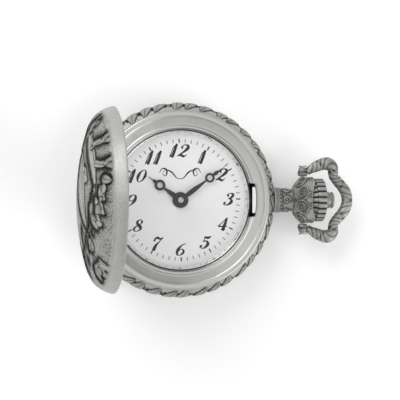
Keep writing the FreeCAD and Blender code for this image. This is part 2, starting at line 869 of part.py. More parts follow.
def make_button_spring():
    """The bellows-shaped spring under the button, drawn pressed flat enough for its full stroke."""
    start = S.crown_start + 0.6
    inner, outer, leg_height, step, folds = 0.8, 1.2, 0.3, 0.26, 4
    radii = [inner if fold % 2 == 0 else outer for fold in range(folds + 1)]
    inside = [(start + fold * step, radius) for fold, radius in enumerate(radii)]
    outside = [(along, radius + leg_height) for along, radius in reversed(inside)]
    return turned_on_pendant("button_spring", inside + outside)


def make_crown_gasket():
    """The ring that seals the sleeve in the mouth of the cup."""
    inner = S.sleeve_radius + 0.03
    start = S.neck_end + 0.95
    return turned_on_pendant("crown_gasket", [
        (start, inner),
        (start + 0.5, inner),
        (start + 0.5, inner + 0.5),
        (start, inner + 0.5),
    ])


def tangent_arcs(points, direction):
    """Radii of the arcs that pass smoothly through points, from a starting direction in degrees."""
    radii = []
    for here, after in zip(points, points[1:]):
        chord = math.degrees(math.atan2(after[1] - here[1], after[0] - here[0]))
        half_turn = (chord - direction + 180.0) % 360.0 - 180.0
        length = math.hypot(after[0] - here[0], after[1] - here[1])
        radii.append(length / (2.0 * math.sin(math.radians(half_turn))))
        direction = direction + 2.0 * half_turn
    return radii


# half of the bow's centre line, from its outer end back to the pivot, as (x from the end, y)
BOW_HALF = ((0.0, 0.0), (-0.8, 2.3), (-2.35, 4.05), (-2.75, 5.3), (-4.3, 6.9), (-6.0, 6.4), (-7.8, 5.3))
BOW_EYE_OUTER = 6.1


def make_bow():
    """The lobed bow, bent from round wire, with an eye at each end."""
    bow = new_body("bow")
    bind(bow, "Placement.Base.z", S.pendant_height)
    radii = tangent_arcs(BOW_HALF, 90.0)
    path = new_sketch(bow, "XY_Plane")
    corners = [(S.bow_end + along, across, radius) for (along, across), radius in zip(BOW_HALF, radii)]
    corners.append((S.bow_end + BOW_HALF[-1][0], BOW_HALF[-1][1]))
    draw_path(path, corners, closed=False)
    section = new_sketch(bow, "XZ_Plane")
    draw_circle(section, S.bow_wire, S.bow_end, 0.0)
    doc.recompute()
    wire = bow.newObject("PartDesign::AdditivePipe", "bow_wire")
    wire.Profile = section
    wire.Spine = (path, ["Edge%d" % (edge + 1) for edge in range(len(radii))])
    doc.recompute()
    other_half = bow.newObject("PartDesign::Mirrored", "bow_mirror")
    other_half.Originals = [wire]
    other_half.MirrorPlane = (origin_feature(bow, "XZ_Plane"), [""])
    bow.Tip = other_half
    doc.recompute()
    eye_inner = S.cup_radius + 0.12
    eye_outer = size(BOW_EYE_OUTER)
    eye_radius = 1.25
    for side in (-1, 1):
        sketch = new_sketch(bow, "XZ_Plane", (eye_inner + (eye_outer - eye_inner) * 0.5) * -side)
        draw_circle(sketch, eye_radius, S.bow_pivot, 0.0)
        pad_both(bow, sketch, eye_outer - eye_inner)
    sketch = new_sketch(bow, "XZ_Plane")
    draw_circle(sketch, 0.45, S.bow_pivot, 0.0)
    doc.recompute()
    hole = pocket(bow, sketch, 20.0)
    hole.SideType = "Symmetric"
    return bow


def make_bow_screws():
    """The two pivot screws of the bow."""
    screws = []
    tip, head_start, head_thickness, head_radius = 3.95, BOW_EYE_OUTER + 0.1, 0.3, 0.75
    slot_width, slot_depth = 0.2, 0.12
    for side in (-1, 1):
        outwards = FreeCAD.Vector(0, side, 0)
        centre = FreeCAD.Vector(S.bow_pivot.value, 0, S.pendant_height.value)
        shank = Part.makeCylinder(0.4, head_start - tip, centre + outwards * tip, outwards)
        head = Part.makeCylinder(head_radius, head_thickness, centre + outwards * head_start, outwards)
        slot = Part.makeBox(head_radius * 2, slot_depth, slot_width)
        slot_middle = head_start + head_thickness - slot_depth / 2
        slot_corner = FreeCAD.Vector(head_radius, slot_depth / 2, slot_width / 2)
        slot.translate(centre + outwards * slot_middle - slot_corner)
        screws.append(shank.fuse(head).cut(slot).removeSplitter())
    return feature_from("bow_screws", screws)


# ---------------------------------------------------------------- movement
def make_movement_holder():
    """The plastic ring that centres the movement in the case."""
    inner, outer = S.plate_radius + 0.03, size(12.9)
    holder = turned("movement_holder", [
        (inner, 1.4),
        (outer, 1.4),
        (outer, dial_bottom - 0.02),
        (inner, dial_bottom - 0.02),
    ])
    sketch = new_sketch(holder, "YZ_Plane", S.plate_radius - 1)
    draw_circle(sketch, 1.5, 0.0, S.pendant_height)
    pocket(holder, sketch, 4.0, reverse=True)
    return holder


def make_main_plate():
    """The plate that carries the movement, with pillars for the bridge."""
    main = new_body("main_plate")
    disc(main, S.plate_radius, S.plate_bottom, S.plate_thickness)
    pillar_bottom = S.bridge_bottom + S.bridge_thickness
    for place in BRIDGE_SCREWS:
        disc(main, 0.6, pillar_bottom, S.plate_bottom - pillar_bottom, place)
    for place in STATOR_SCREWS:
        disc(main, 0.55, 4.32, S.plate_bottom - 4.32, place)
    # channel of the stem and of the pieces that set the hands
    cut_box(main, (6.05, -1.35, S.plate_bottom - 0.1), (S.plate_radius + 0.5, 1.35, plate_top + 0.1))
    cut_box(main, (6.9, 1.3, S.plate_bottom + 0.5), (S.plate_radius + 0.5, 4.0, plate_top + 0.1))
    for place, radius in ((CENTRE, 0.62), (third_place, 0.14), (fifth_place, 0.14), (rotor_place, 0.14)):
        drill(main, radius, S.plate_bottom - 0.1, S.plate_thickness + 0.2, place)
    for foot in DIAL_FEET:
        drill(main, 0.42, S.plate_bottom - 0.1, S.plate_thickness + 0.2, foot)
    for place in BRIDGE_SCREWS:
        drill(main, 0.25, pillar_bottom - 0.1, 2.2, place)
    for place in STATOR_SCREWS:
        drill(main, 0.25, 4.2, 1.2, place)
    return main


def make_train_bridge():
    """The bridge over the train."""
    corners = [(4.3, 2.4), (-6.8, 2.0), (-7.5, -4.8), (-5.6, -7.2), (-1.2, -7.2), (1.6, -3.2), (4.3, 0.6)]
    bridge = plate("train_bridge", corners, S.bridge_bottom, S.bridge_thickness)
    for place in BRIDGE_SCREWS:
        drill(bridge, 0.27, S.bridge_bottom - 0.1, 1.0, place)
    for place in (CENTRE, third_place, fifth_place, rotor_place):
        drill(bridge, 0.14, S.bridge_bottom - 0.1, 1.0, place)
    return bridge


def make_bridge_screws():
    """The three screws of the train bridge."""
    screws = []
    for place in BRIDGE_SCREWS:
        simple_screw(screws, place, S.bridge_bottom.value - 0.4, 0.55, 0.4, 0.24, 2.2)
    return feature_from("bridge_screws", screws)


def arbor(body, low, high, radius):
    """A plain round arbor."""
    disc(body, radius, low, size(high) - low)


def make_centre_wheel():
    """The wheel that turns once an hour, on the long arbor under the cannon pinion."""
    wheel = new_body("centre_wheel")
    add_teeth(wheel, CENTRE_TEETH, pitch(CENTRE_TEETH), 4.3, S.wheel_face)
    arbor(wheel, S.bridge_bottom + 0.3, 8.2, S.pivot_radius)
    arbor(wheel, 3.0, 8.2, 0.28)
    set_down(wheel, CENTRE, THIRD_DIRECTION)
    return wheel


def train_piece(label, place, wheel, pinion, pivots):
    """A wheel and a pinion on one arbor: each is (teeth, bottom, phase), pivots is (low, high)."""
    body = new_body(label)
    wheel_teeth, wheel_bottom, wheel_phase = wheel
    pinion_teeth, pinion_bottom, pinion_phase = pinion
    add_teeth(body, wheel_teeth, pitch(wheel_teeth), wheel_bottom, S.wheel_face)
    arbor(body, pivots[0], pivots[1], S.pivot_radius)
    arbor(body, min(wheel_bottom, pinion_bottom) - 0.2, max(wheel_bottom, pinion_bottom) + 0.4, S.arbor_radius)
    set_down(body, place, wheel_phase)
    leaves = new_body(label.replace("wheel", "pinion"))
    add_teeth(leaves, pinion_teeth, pitch(pinion_teeth), pinion_bottom, S.pinion_face)
    drill(leaves, S.arbor_radius, pinion_bottom, S.pinion_face + size(0.1))
    set_down(leaves, place, pinion_phase)
    return body, leaves


def make_third_wheel():
    """The wheel and pinion between the fifth wheel and the centre wheel."""
    return train_piece(
        "third_wheel", third_place,
        (THIRD_TEETH, 3.7, FIFTH_DIRECTION),
        (THIRD_PINION, 4.25, facing_gap(THIRD_DIRECTION, THIRD_PINION)),
        (S.bridge_bottom + 0.2, plate_top - 0.2))


def make_fifth_wheel():
    """The wheel and pinion between the rotor and the third wheel."""
    return train_piece(
        "fifth_wheel", fifth_place,
        (FIFTH_TEETH, 3.2, ROTOR_DIRECTION),
        (FIFTH_PINION, 3.65, facing_gap(FIFTH_DIRECTION, FIFTH_PINION)),
        (S.bridge_bottom + 0.2, plate_top - 0.2))


MAGNET_RADIUS = 0.72


def make_rotor():
    """The magnet of the stepping motor on its own pinion."""
    rotor = new_body("rotor_pinion")
    add_teeth(rotor, ROTOR_PINION, pitch(ROTOR_PINION), 3.15, S.pinion_face)
    arbor(rotor, S.bridge_bottom + 0.2, plate_top - 0.2, S.pivot_radius)
    arbor(rotor, 2.95, 4.5, S.arbor_radius)
    set_down(rotor, rotor_place, facing_gap(ROTOR_DIRECTION, ROTOR_PINION))
    magnet = new_body("rotor_magnet")
    disc(magnet, MAGNET_RADIUS, 3.6, 0.8)
    drill(magnet, S.arbor_radius, 3.5, 1.0)
    set_down(magnet, rotor_place)
    return rotor, magnet


STATOR_BOTTOM, STATOR_THICKNESS = 3.8, 0.5


def make_stator():
    """The soft-iron plate whose hole holds the rotor's magnet."""
    low, high = -7.35, -4.45
    corners = [(-5.55, low), (-2.0, low), (-1.2, low + 1.0), (3.8, low + 1.0), (4.4, low),
               (5.6, low), (5.6, low + 1.6), (0.0, high), (-5.55, high)]
    stator = plate("stator", corners, STATOR_BOTTOM, STATOR_THICKNESS)
    drill(stator, MAGNET_RADIUS + 0.2, STATOR_BOTTOM - 0.1, 1.0, rotor_place)
    for place in STATOR_SCREWS:
        drill(stator, 0.27, STATOR_BOTTOM - 0.1, 1.0, place)
    return stator


COIL_Y = -8.75


def make_coil_core():
    """The iron core through the coil, with a lug at each end under the stator."""
    bottom, thickness = STATOR_BOTTOM - 0.5, 0.48
    reach, lug_top = 5.45, -6.1
    core = plate("coil_core", [
        (-reach, COIL_Y - 0.35), (reach, COIL_Y - 0.35), (reach, lug_top), (reach - 1.0, lug_top),
        (reach - 1.0, COIL_Y + 0.35), (-reach + 1.0, COIL_Y + 0.35), (-reach + 1.0, lug_top), (-reach, lug_top),
    ], bottom, thickness)
    for place in STATOR_SCREWS:
        drill(core, 0.27, bottom - 0.1, 1.0, place)
    return core


def make_coil_winding():
    """The wound wire of the coil, round its core."""
    half_length, half_depth = 3.9, 0.95
    middle = STATOR_BOTTOM - 0.26
    coil = new_body("coil_winding")
    sketch = new_sketch(coil, "YZ_Plane", -half_length)
    draw_path(sketch, rectangle(COIL_Y - half_depth, middle - 0.85, COIL_Y + half_depth, middle + 0.85))
    pad(coil, sketch, half_length * 2)
    doc.recompute()
    sketch = new_sketch(coil, "YZ_Plane", -half_length - 0.1)
    draw_path(sketch, rectangle(COIL_Y - 0.37, middle - 0.26, COIL_Y + 0.37, middle + 0.26))
    pocket(coil, sketch, half_length * 2 + 0.2, reverse=True)
    return coil


def make_stator_screws():
    """The two screws through the core and the stator."""
    screws = []
    for place in STATOR_SCREWS:
        simple_screw(screws, place, STATOR_BOTTOM - 0.88, 0.5, 0.36, 0.24, 2.1)
    return feature_from("stator_screws", screws)


BOARD_SCREW = (8.4, -2.4)


def make_circuit_board():
    """The board with the oscillator, under the setting works."""
    corners = [(4.7, 0.4), (4.7, -1.0), (2.4, -3.6), (2.4, -5.6), (7.6, -5.6), (9.4, -3.0), (9.4, 0.4)]
    board = plate("circuit_board", corners, S.bridge_bottom, 0.25)
    drill(board, 0.27, S.bridge_bottom - 0.1, 1.0, BOARD_SCREW)
    return board


def make_quartz_can():
    """The tubular can of the quartz crystal, lying on the board."""
    can = doc.addObject("Part::Cylinder", "quartz_can")
    can.Label = "quartz_can"
    bind(can, "Radius", 0.72)
    bind(can, "Height", 4.4)
    along_x = FreeCAD.Rotation(FreeCAD.Vector(0, 1, 0), 90)
    can.Placement = FreeCAD.Placement(FreeCAD.Vector(2.9, -4.7, S.bridge_bottom.value + 0.25 + 0.73), along_x)
    return can


def make_circuit_chip():
    """The chip under its drop of resin."""
    return plate("circuit_chip", rectangle(5.2, -2.9, 7.2, -0.9), S.bridge_bottom + 0.25, 0.7)


def make_board_screw():
    """The screw that holds the board to its post."""
    screws = []
    simple_screw(screws, BOARD_SCREW, S.bridge_bottom.value - 0.3, 0.5, 0.3, 0.24, 1.0)
    return feature_from("board_screw", screws)


def make_board_post():
    """The plastic spacer between the board and the plate."""
    post = new_body("board_spacer")
    bottom = S.bridge_bottom + 0.25
    disc(post, 0.7, bottom, S.plate_bottom - bottom, BOARD_SCREW)
    drill(post, 0.25, bottom - 0.1, 1.0, BOARD_SCREW)
    return post


CELL_BOTTOM = 1.35


def make_battery_cell():
    """The button cell: a wide can with a narrower cap."""
    cell = new_body("battery_cell")
    disc(cell, S.cell_radius, CELL_BOTTOM, S.cell_height - 0.35)
    disc(cell, S.cell_radius - 0.6, CELL_BOTTOM + S.cell_height - 0.35, 0.35)
    set_down(cell, CELL_PLACE)
    return cell


def make_battery_strap():
    """The strap that clamps the cell and carries its positive side."""
    half = 0.8
    strap = new_body("battery_strap")
    sketch = new_sketch(strap, "XY_Plane", CELL_BOTTOM - 0.22)
    draw_path(sketch, rectangle(-8.4, CELL_PLACE[1] - half, 0.9, CELL_PLACE[1] + half))
    pad(strap, sketch, 0.2)
    for low in (-8.4, 0.7):
        sketch = new_sketch(strap, "XY_Plane", CELL_BOTTOM - 0.1)
        draw_path(sketch, rectangle(low, CELL_PLACE[1] - half, low + 0.2, CELL_PLACE[1] + half))
        pad(strap, sketch, S.plate_bottom - (CELL_BOTTOM - 0.1))
    return strap


def make_battery_contact():
    """The springy negative contact between the cell and the plate."""
    bottom = CELL_BOTTOM + S.cell_height + 0.02
    contact = plate("battery_contact", rectangle(-5.6, 4.6, -2.2, 5.4), bottom, 0.12)
    disc(contact, 0.55, bottom, S.plate_bottom - bottom - 0.02, (-2.9, 5.0))
    return contact


# ---------------------------------------------------------------- motion work and hand setting
MOTION_BOTTOM = 6.08


def make_cannon_pinion():
    """The pinion pressed on the centre arbor; the minute hand sits on its upper end."""
    cannon = new_body("cannon_pinion")
    add_teeth(cannon, CANNON_TEETH, pitch(CANNON_TEETH), MOTION_BOTTOM, S.pinion_face)
    arbor(cannon, MOTION_BOTTOM, S.minute_hand_height + S.hand_thickness + 0.12, 0.52)
    drill(cannon, 0.28, MOTION_BOTTOM - 0.1, 2.6)
    set_down(cannon, CENTRE, MINUTE_DIRECTION)
    return cannon


def make_minute_wheel():
    """The wheel between the cannon pinion and the hour wheel, on a post of the plate."""
    wheel = new_body("minute_wheel")
    add_teeth(wheel, MINUTE_TEETH, pitch(MINUTE_TEETH), MOTION_BOTTOM + 0.03, S.wheel_face)
    set_down(wheel, minute_place, facing_gap(MINUTE_DIRECTION, MINUTE_TEETH))
    drill(wheel, 0.29, MOTION_BOTTOM - 0.1, 1.0)
    pinion = new_body("minute_pinion")
    pinion_pitch = hour_pitch(MINUTE_PINION)
    add_teeth(pinion, MINUTE_PINION, pinion_pitch, MOTION_BOTTOM + S.wheel_face + 0.04, 0.5)
    drill(pinion, 0.29, MOTION_BOTTOM - 0.1, 1.0)
    set_down(pinion, minute_place, facing_gap(MINUTE_DIRECTION, MINUTE_PINION))
    return wheel, pinion


def hour_pitch(teeth):
    """The pitch radius of the hour wheel and of the pinion that drives it."""
    total = MINUTE_PINION + HOUR_TEETH
    return S.gear_module * ((CANNON_TEETH + MINUTE_TEETH) / 2.0 * teeth / total)


def make_hour_wheel():
    """The wheel that turns twice a day, on a pipe round the cannon pinion."""
    wheel = new_body("hour_wheel")
    add_teeth(wheel, HOUR_TEETH, hour_pitch(HOUR_TEETH), 6.5, S.wheel_face)
    arbor(wheel, 6.5, S.hour_hand_height + S.hand_thickness + 0.08, 0.8)
    drill(wheel, 0.57, 6.4, 3.0)
    set_down(wheel, CENTRE, MINUTE_DIRECTION)
    return wheel


def make_dial_washer():
    """The thin washer that keeps the hour wheel down."""
    washer = new_body("dial_washer")
    disc(washer, 1.6, 6.8, 0.1)
    drill(washer, 0.86, 6.7, 0.3)
    return washer


def make_minute_post():
    """The post on which the minute wheel turns."""
    post = new_body("minute_post")
    disc(post, 0.24, plate_top, 0.95)
    set_down(post, minute_place)
    return post


def make_setting_wheel():
    """The wheel that passes the stem's turn to the minute wheel."""
    wheel = new_body("setting_wheel")
    add_teeth(wheel, SETTING_TEETH, pitch(SETTING_TEETH), MOTION_BOTTOM + 0.03, S.wheel_face)
    drill(wheel, 0.29, MOTION_BOTTOM - 0.1, 1.0)
    tooth = 360.0 / MINUTE_TEETH
    wheel_phase = facing_gap(MINUTE_DIRECTION, MINUTE_TEETH)
    off_tooth = (SETTING_DIRECTION - wheel_phase) % tooth
    own_phase = SETTING_DIRECTION + 180.0 + 180.0 / SETTING_TEETH + off_tooth * MINUTE_TEETH / SETTING_TEETH
    set_down(wheel, setting_place, own_phase)
    return wheel


def make_setting_post():
    """The post on which the setting wheel turns."""
    post = new_body("setting_post")
    disc(post, 0.24, plate_top, 0.5)
    set_down(post, setting_place)
    return post


def make_setting_stem():
    """The stem: pilot, square, groove for the setting lever, and the end that joins the sleeve."""
    return turned_on_pendant("setting_stem", [
        (6.2, 0.0),
        (STEM_JOINT + 0.45, 0.0),
        (STEM_JOINT + 0.45, S.stem_radius),
        (11.0, S.stem_radius),
        (11.0, 0.7),
        (10.55, 0.7),
        (10.55, 0.3),
        (10.15, 0.3),
        (10.15, 0.7),
        (9.8, 0.7),
        (9.8, 0.36),
        (6.2, 0.3),
    ])


def make_sliding_pinion():
    """The pinion that slides on the stem towards the setting wheel."""
    pinion = turned_on_pendant("sliding_pinion", [
        (7.3, 0.42),
        (8.75, 0.42),
        (8.75, 0.85),
        (8.3, 0.85),
        (8.3, 0.62),
        (7.95, 0.62),
        (7.95, 0.85),
        (7.3, 0.85),
    ])
    sketch = new_sketch(pinion, "YZ_Plane", 7.2)
    draw_path(sketch, rectangle(0.5, -0.1, 1.0, 0.1))
    groove = pocket(pinion, sketch, 0.35, reverse=True)
    pattern = pinion.newObject("PartDesign::PolarPattern", "sliding_pinion_pattern")
    pattern.Originals = [groove]
    pattern.Axis = (origin_feature(pinion, "X_Axis"), [""])
    pattern.Angle = 360.0
    pattern.Occurrences = 12
    pinion.Tip = pattern
    return pinion


def make_setting_lever():
    """The lever whose nose lies in the stem's groove."""
    return plate("setting_lever", [
        (10.2, 0.36), (10.5, 0.36), (10.5, 1.0), (9.9, 1.4), (9.6, 2.7), (8.9, 2.7), (8.9, 1.9), (9.5, 1.5),
        (10.2, 0.95),
    ], S.pendant_height - 0.02, 0.3)


def make_yoke():
    """The yoke whose finger lies in the sliding pinion's groove; it swings on its round end."""
    middle, half_width = 8.12, 0.1
    finger_end, pivot_across = 0.68, 3.2
    underside, thickness = S.pendant_height + 0.32, 0.2
    outline = rectangle(middle - half_width, finger_end, middle + half_width, pivot_across)
    yoke = plate("yoke", outline, underside, thickness)
    disc(yoke, 0.5, underside, thickness, (middle, pivot_across))
    return yoke


MAKERS = (
    make_case_band, make_bezel_ring, make_back_cover, make_back_gasket, make_front_lid, make_hinge_pin,
    make_lift_spring, make_lock_spring, make_catch, make_case_spring_screws, make_inner_ring, make_crystal,
    make_crystal_gasket, make_dial, make_hour_hand, make_minute_hand, make_pendant_neck, make_pendant_cup,
    make_crown, make_crown_sleeve, make_push_button, make_button_spring, make_crown_gasket, make_bow,
    make_bow_screws, make_movement_holder, make_main_plate, make_train_bridge, make_bridge_screws,
    make_centre_wheel, make_third_wheel, make_fifth_wheel, make_rotor, make_stator, make_coil_core,
    make_coil_winding, make_stator_screws, make_circuit_board, make_quartz_can, make_circuit_chip,
    make_board_screw, make_board_post, make_battery_cell, make_battery_strap, make_battery_contact,
    make_cannon_pinion, make_minute_wheel, make_hour_wheel, make_dial_washer, make_minute_post,
    make_setting_wheel, make_setting_post, make_setting_stem, make_sliding_pinion, make_setting_lever, make_yoke,
)


def build_all():
    """Make every sub-part and return them in one list."""
    sub_parts = []
    for maker in MAKERS:
        made = maker()
        doc.recompute()
        sub_parts.extend(made if isinstance(made, tuple) else (made,))
    return sub_parts


def check_all(sub_parts):
    """Stop if any object failed or any sub-part has no sound solid."""
    for obj in doc.Objects:
        if "Invalid" in obj.State or "Error" in obj.State:
            raise ValueError("%s failed: %s" % (obj.Label, obj.State))
    for sub_part in sub_parts:
        shape = sub_part.Shape
        if shape.isNull() or not shape.isValid() or shape.Volume <= 0 or not shape.Solids:
            raise ValueError("%s has no sound shape" % sub_part.Label)


def write_all(sub_parts):
    """Write each sub-part to its own file."""
    os.makedirs("parts", exist_ok=True)
    for sub_part in sub_parts:
        shape = sub_part.Shape
        shape.exportStep(os.path.join("parts", sub_part.Label + ".step"))
        print("%-20s %2d solid(s) %10.4f mm3" % (sub_part.Label, len(shape.Solids), shape.Volume))


parts = build_all()
doc.recompute()
check_all(parts)
write_all(parts)
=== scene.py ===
"""The look of a small hunter pocket watch: relief, finishes, dial printing, light and camera."""

import json
import math

import bmesh
import bpy
import numpy as np
from mathutils import Matrix, Vector


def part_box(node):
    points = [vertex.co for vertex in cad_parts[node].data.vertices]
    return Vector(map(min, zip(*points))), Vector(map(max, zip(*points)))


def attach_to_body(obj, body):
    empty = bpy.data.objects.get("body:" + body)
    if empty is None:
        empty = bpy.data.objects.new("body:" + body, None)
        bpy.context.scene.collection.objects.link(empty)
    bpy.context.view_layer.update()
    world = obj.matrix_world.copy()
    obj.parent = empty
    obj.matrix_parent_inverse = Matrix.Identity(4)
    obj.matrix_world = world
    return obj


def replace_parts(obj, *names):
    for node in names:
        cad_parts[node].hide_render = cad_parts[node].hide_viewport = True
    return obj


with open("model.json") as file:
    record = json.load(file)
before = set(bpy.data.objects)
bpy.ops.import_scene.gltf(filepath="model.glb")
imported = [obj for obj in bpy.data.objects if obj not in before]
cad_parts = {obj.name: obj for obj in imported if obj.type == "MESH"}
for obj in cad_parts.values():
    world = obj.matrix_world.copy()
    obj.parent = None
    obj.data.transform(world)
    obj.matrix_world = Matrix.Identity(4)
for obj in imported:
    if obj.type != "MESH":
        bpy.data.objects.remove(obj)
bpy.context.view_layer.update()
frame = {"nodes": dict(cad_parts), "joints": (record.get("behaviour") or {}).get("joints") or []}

MM = 0.001
TURN = 2.0 * math.pi


# ---------------------------------------------------------------- sizes read from the frame, in millimetres

def low_of(node):
    """Lowest corner of a CAD node, in millimetres."""
    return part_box(node)[0] / MM


def high_of(node):
    """Highest corner of a CAD node, in millimetres."""
    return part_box(node)[1] / MM


def joint_named(name):
    """The joint of that name."""
    return next(joint for joint in frame["joints"] if joint["name"] == name)


def joint_place(name):
    """A point on a joint's axis, in millimetres."""
    return Vector(joint_named(name)["pos_m"]) / MM


BEZEL_RADIUS = high_of("bezel_ring").x
BEZEL_TOP = high_of("bezel_ring").z
BAND_TOP = low_of("bezel_ring").z + 0.7
COVER_RADIUS = high_of("back_cover").x
COVER_EDGE = high_of("back_cover").z
DIAL_TOP = high_of("dial").z
DIAL_RADIUS = high_of("dial").x
CRYSTAL_RADIUS = high_of("crystal").x
CRYSTAL_LOW = low_of("crystal").z
CRYSTAL_TOP = high_of("crystal").z
PENDANT_HEIGHT = joint_place("crown_turn").z
NECK_START = low_of("pendant_neck").x
CUP_START = low_of("pendant_cup").x
CUP_LIP = high_of("pendant_cup").x
CUP_RADIUS = high_of("pendant_cup").y
CROWN_START = low_of("crown").x
CROWN_END = high_of("crown").x
CROWN_RADIUS = high_of("crown").y
BUTTON_END = high_of("push_button").x
BOW_PIVOT = joint_place("bow_swing").x
BOW_WIRE = (high_of("bow").z - low_of("bow").z) * 0.5 - 0.4
HINGE = joint_place("lid_hinge")
LID_ANGLE = -joint_named("lid_hinge")["range_deg"][0]


# ---------------------------------------------------------------- mesh helpers

def finish_mesh(mesh, smooth):
    """Turn the faces outwards and set their shading."""
    work = bmesh.new()
    work.from_mesh(mesh)
    same_place = 1e-7
    bmesh.ops.remove_doubles(work, verts=work.verts, dist=same_place)
    bmesh.ops.recalc_face_normals(work, faces=work.faces)
    for face in work.faces:
        face.smooth = smooth
    work.to_mesh(mesh)
    work.free()


def add_object(name, data):
    """A new object in the scene that holds the data."""
    made = bpy.data.objects.new(name, data)
    bpy.context.scene.collection.objects.link(made)
    return made


def attach(name, mesh, body, slot, finish=None):
    """A piece that rides on a body; its finish is its slot's unless given."""
    mesh.materials.clear()
    mesh.materials.append(finish or MATERIALS[slot])
    piece = add_object(name, mesh)
    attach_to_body(piece, body)
    return piece


def add_piece(name, points, faces, body, slot, layers=None, finish=None, smooth=True):
    """A mesh piece from points in millimetres, with values per point if given."""
    mesh = bpy.data.meshes.new(name)
    mesh.from_pydata((np.asarray(points, float).reshape(-1, 3) * MM).tolist(), [], faces)
    for key, values in (layers or {}).items():
        layer = mesh.attributes.new(key, "FLOAT", "POINT")
        layer.data.foreach_set("value", np.asarray(values, np.float32).ravel())
    finish_mesh(mesh, smooth)
    return attach(name, mesh, body, slot, finish)


def shading(recess, ground=0.3):
    """The two values per point that the antique finish reads: how dark, and how stippled."""
    return {"recess": recess, "ground": np.broadcast_to(ground, np.shape(recess))}


def grid_faces(rows, columns, wrap_rows=False):
    """Quads of a grid whose columns close in a ring."""
    faces = []
    for row in range(rows if wrap_rows else rows - 1):
        here, above = row * columns, (row + 1) % rows * columns
        for column in range(columns):
            after = (column + 1) % columns
            faces.append((here + column, here + after, above + after, above + column))
    return faces


def tube_faces(rows, columns):
    """The faces of a tube of rings that is closed at both ends."""
    last = (rows - 1) * columns
    return grid_faces(rows, columns) + [tuple(range(columns)), tuple(range(last, last + columns))]


def arc_points(start, end, radius, steps):
    """Points from start to end on an arc; a positive radius bulges to the right of the way."""
    start, end = np.array(start, float), np.array(end, float)
    chord = end - start
    length = math.hypot(*chord)
    across = np.array([-chord[1], chord[0]]) / length
    rise = math.sqrt(radius * radius - length * length * 0.25)
    centre = (start + end) * 0.5 + across * math.copysign(rise, radius)
    first = math.atan2(*(start - centre)[::-1])
    last = math.atan2(*(end - centre)[::-1])
    sweep = (last - first + math.pi) % TURN - math.pi
    turns = first + sweep * np.linspace(0.0, 1.0, steps)
    return [tuple(centre + abs(radius) * np.array([math.cos(turn), math.sin(turn)])) for turn in turns]


def rounded(corners, size, steps=4, closed=True):
    """An outline whose corners are eased by short curves."""
    outline = []
    count = len(corners)
    for index, corner in enumerate(corners):
        if not closed and index in (0, count - 1):
            outline.append(tuple(corner))
            continue
        corner = np.array(corner, float)
        before = np.array(corners[index - 1], float) - corner
        after = np.array(corners[(index + 1) % count], float) - corner
        reach = min(size, 0.45 * np.hypot(*before), 0.45 * np.hypot(*after))
        first = corner + before / np.hypot(*before) * reach
        last = corner + after / np.hypot(*after) * reach
        for step in np.linspace(0.0, 1.0, steps):
            outline.append(tuple(first * (1 - step) ** 2 + corner * 2 * step * (1 - step) + last * step ** 2))
    return outline


def dense(outline, spacing, closed=False):
    """The outline with points added so that none lie further apart than spacing."""
    result = []
    ends = outline[1:] + (outline[:1] if closed else [])
    for here, after in zip(outline, ends):
        pieces = max(1, math.ceil(math.dist(here, after) / spacing))
        for step in range(pieces):
            part = step / pieces
            result.append((here[0] + (after[0] - here[0]) * part, here[1] + (after[1] - here[1]) * part))
    if not closed:
        result.append(tuple(outline[-1]))
    return result


def smooth_line(points, steps=7):
    """A smooth line through points that carry a width."""
    points = np.array(points, float)
    padded = np.concatenate([points[:1] * 2 - points[1:2], points, points[-1:] * 2 - points[-2:-1]])
    line = []
    for index in range(1, len(padded) - 2):
        before, here, after, beyond = padded[index - 1:index + 3]
        for step in range(steps):
            t = step / steps
            square = (2 * before - 5 * here + 4 * after - beyond) * t * t
            cube = (3 * here - before - 3 * after + beyond) * t ** 3
            line.append(0.5 * (2 * here + (after - before) * t + square + cube))
    line.append(points[-1])
    return np.array(line)


def unit_slope(line):
    """The direction of a line at each of its points, as unit vectors."""
    slope, least = np.gradient(line, axis=0), 1e-9
    return slope / np.maximum(np.hypot(*slope.T), least)[:, None]


def run_length(line):
    """How far along a line each of its points is."""
    return np.concatenate([[0.0], np.cumsum(np.hypot(*np.diff(line, axis=0).T))])


def fading(off, width):
    """1 where off is nothing, fading smoothly to 0 over about the width."""
    return np.exp(-(off / width) ** 2)


class Turned:
    """A field of points made by turning an outline of (radius, height), ready for relief."""

    def __init__(self, outline, columns):
        profile = np.array(outline, float)
        self.columns = columns
        self.angle = np.tile(np.arange(columns) * TURN / columns, (len(profile), 1))
        self.radius = np.repeat(profile[:, :1], columns, axis=1)
        self.height = np.repeat(profile[:, 1:], columns, axis=1)
        self.along = np.repeat(run_length(profile)[:, None], columns, axis=1)
        slope = unit_slope(profile)
        self.out_radius = np.repeat(slope[:, 1:], columns, axis=1)
        self.out_height = -np.repeat(slope[:, :1], columns, axis=1)

    def raise_by(self, amount):
        """Move every point outwards by its own amount, in millimetres."""
        self.radius = self.radius + self.out_radius * amount
        self.height = self.height + self.out_height * amount

    def about_z(self):
        """The points with the axis upright."""
        across, depth = self.radius * np.cos(self.angle), self.radius * np.sin(self.angle)
        return np.stack([across, depth, self.height], axis=-1)

    def about_pendant(self):
        """The points with the axis along the pendant."""
        side, up = self.radius * np.cos(self.angle), self.radius * np.sin(self.angle)
        return np.stack([self.height, side, up + PENDANT_HEIGHT], axis=-1)

    def faces(self, closed=True):
        """The quads of the field."""
        return grid_faces(len(self.radius), self.columns, closed)


# ---------------------------------------------------------------- relief

